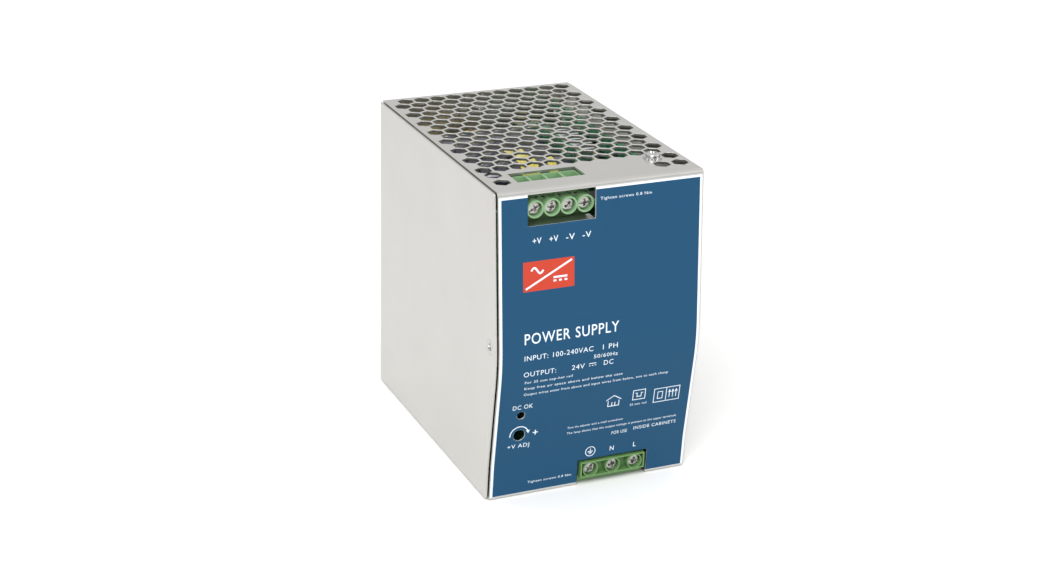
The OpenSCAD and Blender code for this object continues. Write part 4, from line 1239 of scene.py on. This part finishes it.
class POWERSUPPLY_OT_boards(Operator):
    """Finish the circuit boards, their spacers and screws, and add small soldered parts"""

    bl_idname = "powersupply.boards"
    bl_label = "Boards"
    bl_options = {"REGISTER", "UNDO"}

    def execute(self, context):
        inside = chosen("inside")
        board = once(circuit_board, "solder mask", inside.board_colour)
        for node in ("main_board", "front_board", "filter_board"):
            keep(node, board, 0.08 * MM)
        keep("insulation_sheet", once(clear_film, "insulating film", inside.insulation_colour))
        keep("board_standoffs", brass_material(), 0.15 * MM)
        keep("board_screws", screw_material(), 0.3 * MM, 3)
        nylon = once(moulded_plastic, "natural nylon", inside.nylon_colour, 0.45, 0.2)
        keep("board_connectors", nylon, inside.edge)
        chips = bmesh.new()
        board_parts(chips, "main_board", 34, 9 * MM, 1.0)
        add_piece("board_chips", chips, epoxy_material())
        pads = bmesh.new()
        board_parts(pads, "main_board", 40, 10 * MM, 7.0)
        add_piece("board_solder", pads, tin_material())
        return {"FINISHED"}


class POWERSUPPLY_OT_heatsinks(Operator):
    """Finish the heatsinks and the power devices bolted to them"""

    bl_idname = "powersupply.heatsinks"
    bl_label = "Heatsinks and power devices"
    bl_options = {"REGISTER", "UNDO"}

    def execute(self, context):
        inside = chosen("inside")
        aluminium = once(mill_aluminium, "mill aluminium", inside.aluminium_colour)
        keep("primary_heatsink", aluminium, inside.edge)
        keep("secondary_heatsink", aluminium, inside.edge)
        for node in ("power_transistors", "output_rectifiers", "bridge_rectifier"):
            keep(node, epoxy_material(), inside.edge)
        keep("heatsink_screws", screw_material(), 0.35 * MM, 3)
        return {"FINISHED"}


class POWERSUPPLY_OT_transformer(Operator):
    """Finish the transformer's core, bobbin and taped winding"""

    bl_idname = "powersupply.transformer"
    bl_label = "Transformer"
    bl_options = {"REGISTER", "UNDO"}

    def execute(self, context):
        inside = chosen("inside")
        keep("transformer_core", once(ferrite, "ferrite", inside.ferrite_colour), 0.4 * MM)
        bobbin = once(moulded_plastic, "phenolic moulding", inside.bobbin_colour, 0.5)
        keep("transformer_bobbin", bobbin, 0.3 * MM)
        keep("transformer_winding", once(wound_tape, "yellow tape", inside.tape_colour), 1.6 * MM, 4)
        return {"FINISHED"}


def capacitor(shape, start, end, radius, rim=0.9 * MM):
    """A sleeved can from its leads at start to its vented top at end."""
    length = (end - start).length
    neck, vent = length - 3.2 * rim, length - 0.35 * rim
    profile = [
        (0.0, 0.0), (radius * 0.86, 0.0), (radius * 0.97, 0.25 * rim), (radius, rim),
        (radius, neck - rim), (radius * 0.955, neck), (radius, neck + rim), (radius, length - rim),
        (radius * 0.95, length - 0.2 * rim), (radius * 0.82, length), (radius * 0.80, vent), (0.0, vent),
    ]
    aim = (end - start).to_track_quat("Z", "Y").to_matrix().to_4x4()
    add_turned(shape, profile, Matrix.Translation(start) @ aim, 56)


def tape_band(shape, span, centres, height, radius, thickness=0.2 * MM):
    """A belt of tape round one can, or round two side by side."""
    rings = []
    for x in span:
        for reach in (radius + 0.02 * MM, radius + 0.02 * MM + thickness):
            loop = []
            for centre, start in ((centres[1], -90), (centres[0], 90)):
                for i in range(25):
                    a = math.radians(start + 7.5 * i)
                    y, z = centre + reach * math.cos(a), height + reach * math.sin(a)
                    loop.append(shape.verts.new((x, y, z)))
            rings.append(loop)
    near_in, near_out, far_in, far_out = rings
    count = len(near_in)
    for i in range(count):
        j = (i + 1) % count
        for a, b in ((near_in, near_out), (near_out, far_out), (far_out, far_in), (far_in, near_in)):
            shape.faces.new((a[i], a[j], b[j], b[i]))


class POWERSUPPLY_OT_capacitors(Operator):
    """Make the sleeved capacitors and finish the boxed ones"""

    bl_idname = "powersupply.capacitors"
    bl_label = "Capacitors"
    bl_options = {"REGISTER", "UNDO"}

    def execute(self, context):
        inside = chosen("inside")
        sleeve = once(shrink_sleeve, "capacitor sleeve", inside.sleeve_colour, inside.stripe_colour)
        for node, count, along in (("bulk_capacitors", 2, 2), ("output_capacitors", 3, 1)):
            low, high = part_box(node)
            lead = 1.0 * MM if node == "bulk_capacitors" else 0.6 * MM
            across = 3 - along
            radius = (high[across] - low[across]) / 2
            shape = bmesh.new()
            for i in range(count):
                centre = [0.0, 0.0, 0.0]
                centre[across] = (low[across] + high[across]) / 2
                share = i / (count - 1)
                centre[along] = low[along] + radius + (high[along] - low[along] - 2 * radius) * share
                start = Vector((high.x - lead, centre[1], centre[2]))
                capacitor(shape, start, Vector((low.x, centre[1], centre[2])), radius)
            add_piece(f"{node[:-1]}_cans", shape, sleeve, stands_for=[node])
        tape = once(wound_tape, "yellow tape", inside.tape_colour)
        low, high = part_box("output_capacitors")
        radius = (high.z - low.z) / 2
        first, second = low.y + radius, low.y + radius + (high.y - low.y - 2 * radius) / 2
        height = (low.z + high.z) / 2
        bands = bmesh.new()
        tape_band(bands, (-10.5 * MM, -3.0 * MM), (first, second), height, radius)
        tape_band(bands, (1.0 * MM, 4.5 * MM), (first, first), height, radius)
        add_piece("capacitor_tape", bands, tape)
        boxed = once(moulded_plastic, "film capacitor box", inside.film_colour, 0.35)
        keep("suppression_capacitors", boxed, 0.6 * MM, 3)
        return {"FINISHED"}


def wire_turns(shape, centre, core, wire, count):
    """Round wire in separate turns about a toroid along Y, given as outer radius, bore radius and depth."""
    outer, bore, depth = core
    slack = 0.1 * MM + wire / 2
    r_out, r_in, half = outer + slack, bore - slack, depth / 2 + slack
    bend = 1.3 * MM
    corners = ((r_out - bend, half - bend, 0), (r_in + bend, half - bend, 90),
               (r_in + bend, bend - half, 180), (r_out - bend, bend - half, 270))
    for k in range(count):
        angle = 2 * math.pi * k / count
        way = Vector((math.cos(angle), 0.0, -math.sin(angle)))
        path = []
        for radius, y, start in corners:
            for turn in (start, start + 30, start + 60, start + 90):
                a = math.radians(turn)
                rise = Vector((0.0, y + bend * math.sin(a), 0.0))
                path.append(centre + way * (radius + bend * math.cos(a)) + rise)
        add_wire_loop(shape, path, wire / 2)


class POWERSUPPLY_OT_chokes(Operator):
    """Wind the chokes with round wire and finish their cores"""

    bl_idname = "powersupply.chokes"
    bl_label = "Chokes"
    bl_options = {"REGISTER", "UNDO"}

    def execute(self, context):
        inside = chosen("inside")
        copper = once(enamelled_wire, "enamelled wire", inside.copper_colour)
        green = once(coated_core, "green core coat", inside.green_core_colour)
        powder = once(coated_core, "powder core coat", inside.powder_core_colour)
        keep("boost_choke_core", powder, 1.2 * MM, 4)
        keep("line_choke_cores", green, 1.2 * MM, 4)
        keep("output_choke", once(coated_core, "wrapped choke", inside.output_choke_colour), 1.4 * MM, 4)
        low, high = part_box("boost_choke_core")
        boost = bmesh.new()
        core = ((high.x - low.x) / 2, BOOST_BORE, high.y - low.y)
        wire_turns(boost, (low + high) / 2, core, WIRE, BOOST_TURNS)
        add_piece("boost_choke_wire", boost, copper, stands_for=["boost_choke_winding"])
        low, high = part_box("line_choke_cores")
        centre = (low + high) / 2
        line = bmesh.new()
        core = ((high.x - low.x) / 2, LINE_BORE, LINE_DEPTH)
        for y in (low.y + LINE_DEPTH / 2, high.y - LINE_DEPTH / 2):
            wire_turns(line, Vector((centre.x, y, centre.z)), core, WIRE, LINE_TURNS)
        add_piece("line_choke_wire", line, copper, stands_for=["line_choke_windings"])
        return {"FINISHED"}


class POWERSUPPLY_OT_small_parts(Operator):
    """Finish the inlet fuse and the varistor"""

    bl_idname = "powersupply.small_parts"
    bl_label = "Fuse and varistor"
    bl_options = {"REGISTER", "UNDO"}

    def execute(self, context):
        inside = chosen("inside")
        keep("inlet_fuse", once(coated_core, "white ceramic", inside.fuse_colour), 0.3 * MM)
        keep("varistor", once(coated_core, "blue dip", inside.varistor_colour), 0.8 * MM, 3)
        return {"FINISHED"}


# ---------- stage ----------


def soft_light(name, power, size, place, target):
    light = bpy.data.lights.new(name, "AREA")
    light.shape = "RECTANGLE"
    light.size, light.size_y = size
    light.energy = power
    panel = placed(name, light)
    panel.location = place
    panel.rotation_euler = (Vector(target) - Vector(place)).to_track_quat("-Z", "Y").to_euler()


class POWERSUPPLY_OT_stage(Operator):
    """Set up the pale floor, the soft light and the camera"""

    bl_idname = "powersupply.stage"
    bl_label = "Stage"
    bl_options = {"REGISTER", "UNDO"}

    def execute(self, context):
        studio = chosen("studio")
        scene = context.scene
        scene.view_settings.view_transform = "Standard"
        shape = bmesh.new()
        add_turned(shape, [(FLOOR_RADIUS, 0.0), (FLOOR_RADIUS - 0.01, -0.02), (0.0, -0.02)], Matrix(), 96)
        rim = [v for v in shape.verts if abs(v.co.z) < 1e-6]
        shape.faces.new(rim)
        bmesh.ops.recalc_face_normals(shape, faces=shape.faces[:])
        mesh = bpy.data.meshes.new("floor")
        shape.to_mesh(mesh)
        shape.free()
        floor_finish = Finish("pale floor", studio.floor_colour, 0.7)
        floor_finish.paint(floor_finish.shades(floor_finish.noise(120 * MM, 3.0), 0.985, 1.015))
        mesh.materials.append(floor_finish.material)
        floor = placed("floor", mesh)
        floor.location.z = -0.05 * MM

        world = bpy.data.worlds.new("studio light")
        world.use_nodes = True
        sky = world.node_tree.nodes["Background"]
        sky.inputs["Strength"].default_value = studio.daylight
        height = world.node_tree.nodes.new("ShaderNodeSeparateXYZ")
        spread = world.node_tree.nodes.new("ShaderNodeMapRange")
        spread.inputs["From Min"].default_value, spread.inputs["From Max"].default_value = -0.05, 0.42
        spread.inputs["To Min"].default_value, spread.inputs["To Max"].default_value = LOWEST_DAYLIGHT, 1.0
        direction = world.node_tree.nodes.new("ShaderNodeTexCoord").outputs["Generated"]
        world.node_tree.links.new(direction, height.inputs["Vector"])
        world.node_tree.links.new(height.outputs["Z"], spread.inputs["Value"])
        world.node_tree.links.new(spread.outputs["Result"], sky.inputs["Color"])
        scene.world = world
        soft_light("key light", studio.key_power, (1.2, 1.2), (-0.9, -1.2, 1.5), STAGE_CENTRE)
        soft_light("fill light", studio.fill_power, (1.0, 1.0), (1.5, -0.9, 0.9), STAGE_CENTRE)

        camera_data = bpy.data.cameras.new("camera")
        camera_data.lens = studio.lens
        camera_data.sensor_width = 36.0
        camera_data.clip_start, camera_data.clip_end = 0.01, 20.0
        camera = placed("camera", camera_data)
        back = Vector((
            math.sin(studio.azimuth) * math.cos(studio.elevation),
            -math.cos(studio.azimuth) * math.cos(studio.elevation),
            math.sin(studio.elevation),
        ))
        turn = (-back).to_track_quat("-Z", "Y").to_matrix().to_4x4()
        place = Matrix.Translation(Vector(studio.target) + back * studio.distance)
        camera.matrix_world = place @ turn @ Matrix.Rotation(studio.roll, 4, "Z")
        scene.camera = camera
        return {"FINISHED"}


OPERATORS = (
    POWERSUPPLY_OT_case,
    POWERSUPPLY_OT_label,
    POWERSUPPLY_OT_print,
    POWERSUPPLY_OT_case_screws,
    POWERSUPPLY_OT_terminals,
    POWERSUPPLY_OT_clamps,
    POWERSUPPLY_OT_controls,
    POWERSUPPLY_OT_rail_clip,
    POWERSUPPLY_OT_boards,
    POWERSUPPLY_OT_heatsinks,
    POWERSUPPLY_OT_transformer,
    POWERSUPPLY_OT_capacitors,
    POWERSUPPLY_OT_chokes,
    POWERSUPPLY_OT_small_parts,
    POWERSUPPLY_OT_stage,
)


class VIEW3D_PT_power_supply(Panel):
    """Lists the makers of the pieces and their settings"""

    bl_label = "Power Supply"
    bl_space_type = "VIEW_3D"
    bl_region_type = "UI"
    bl_category = "Power Supply"

    def draw(self, context):
        layout = self.layout
        for operator in OPERATORS:
            layout.operator(operator.bl_idname)
        for group, settings in SETTINGS.items():
            box = layout.box()
            box.label(text=group.title())
            for name in settings.__annotations__:
                box.prop(chosen(group), name)


def register():
    for settings in SETTINGS.values():
        bpy.utils.register_class(settings)
    for group, settings in SETTINGS.items():
        setattr(bpy.types.Scene, "power_supply_" + group, PointerProperty(type=settings))
    for operator in OPERATORS:
        bpy.utils.register_class(operator)
    bpy.utils.register_class(VIEW3D_PT_power_supply)


def unregister():
    bpy.utils.unregister_class(VIEW3D_PT_power_supply)
    for operator in reversed(OPERATORS):
        bpy.utils.unregister_class(operator)
    for group in SETTINGS:
        delattr(bpy.types.Scene, "power_supply_" + group)
    for settings in reversed(SETTINGS.values()):
        bpy.utils.unregister_class(settings)


def main():
    register()
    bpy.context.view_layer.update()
    bpy.ops.powersupply.case()
    bpy.ops.powersupply.label()
    bpy.ops.powersupply.print()
    bpy.ops.powersupply.case_screws()
    bpy.ops.powersupply.terminals()
    bpy.ops.powersupply.clamps()
    bpy.ops.powersupply.controls()
    bpy.ops.powersupply.rail_clip()
    bpy.ops.powersupply.boards()
    bpy.ops.powersupply.heatsinks()
    bpy.ops.powersupply.transformer()
    bpy.ops.powersupply.capacitors()
    bpy.ops.powersupply.chokes()
    bpy.ops.powersupply.small_parts()
    bpy.ops.powersupply.stage()


if __name__ == "__main__":
    main()
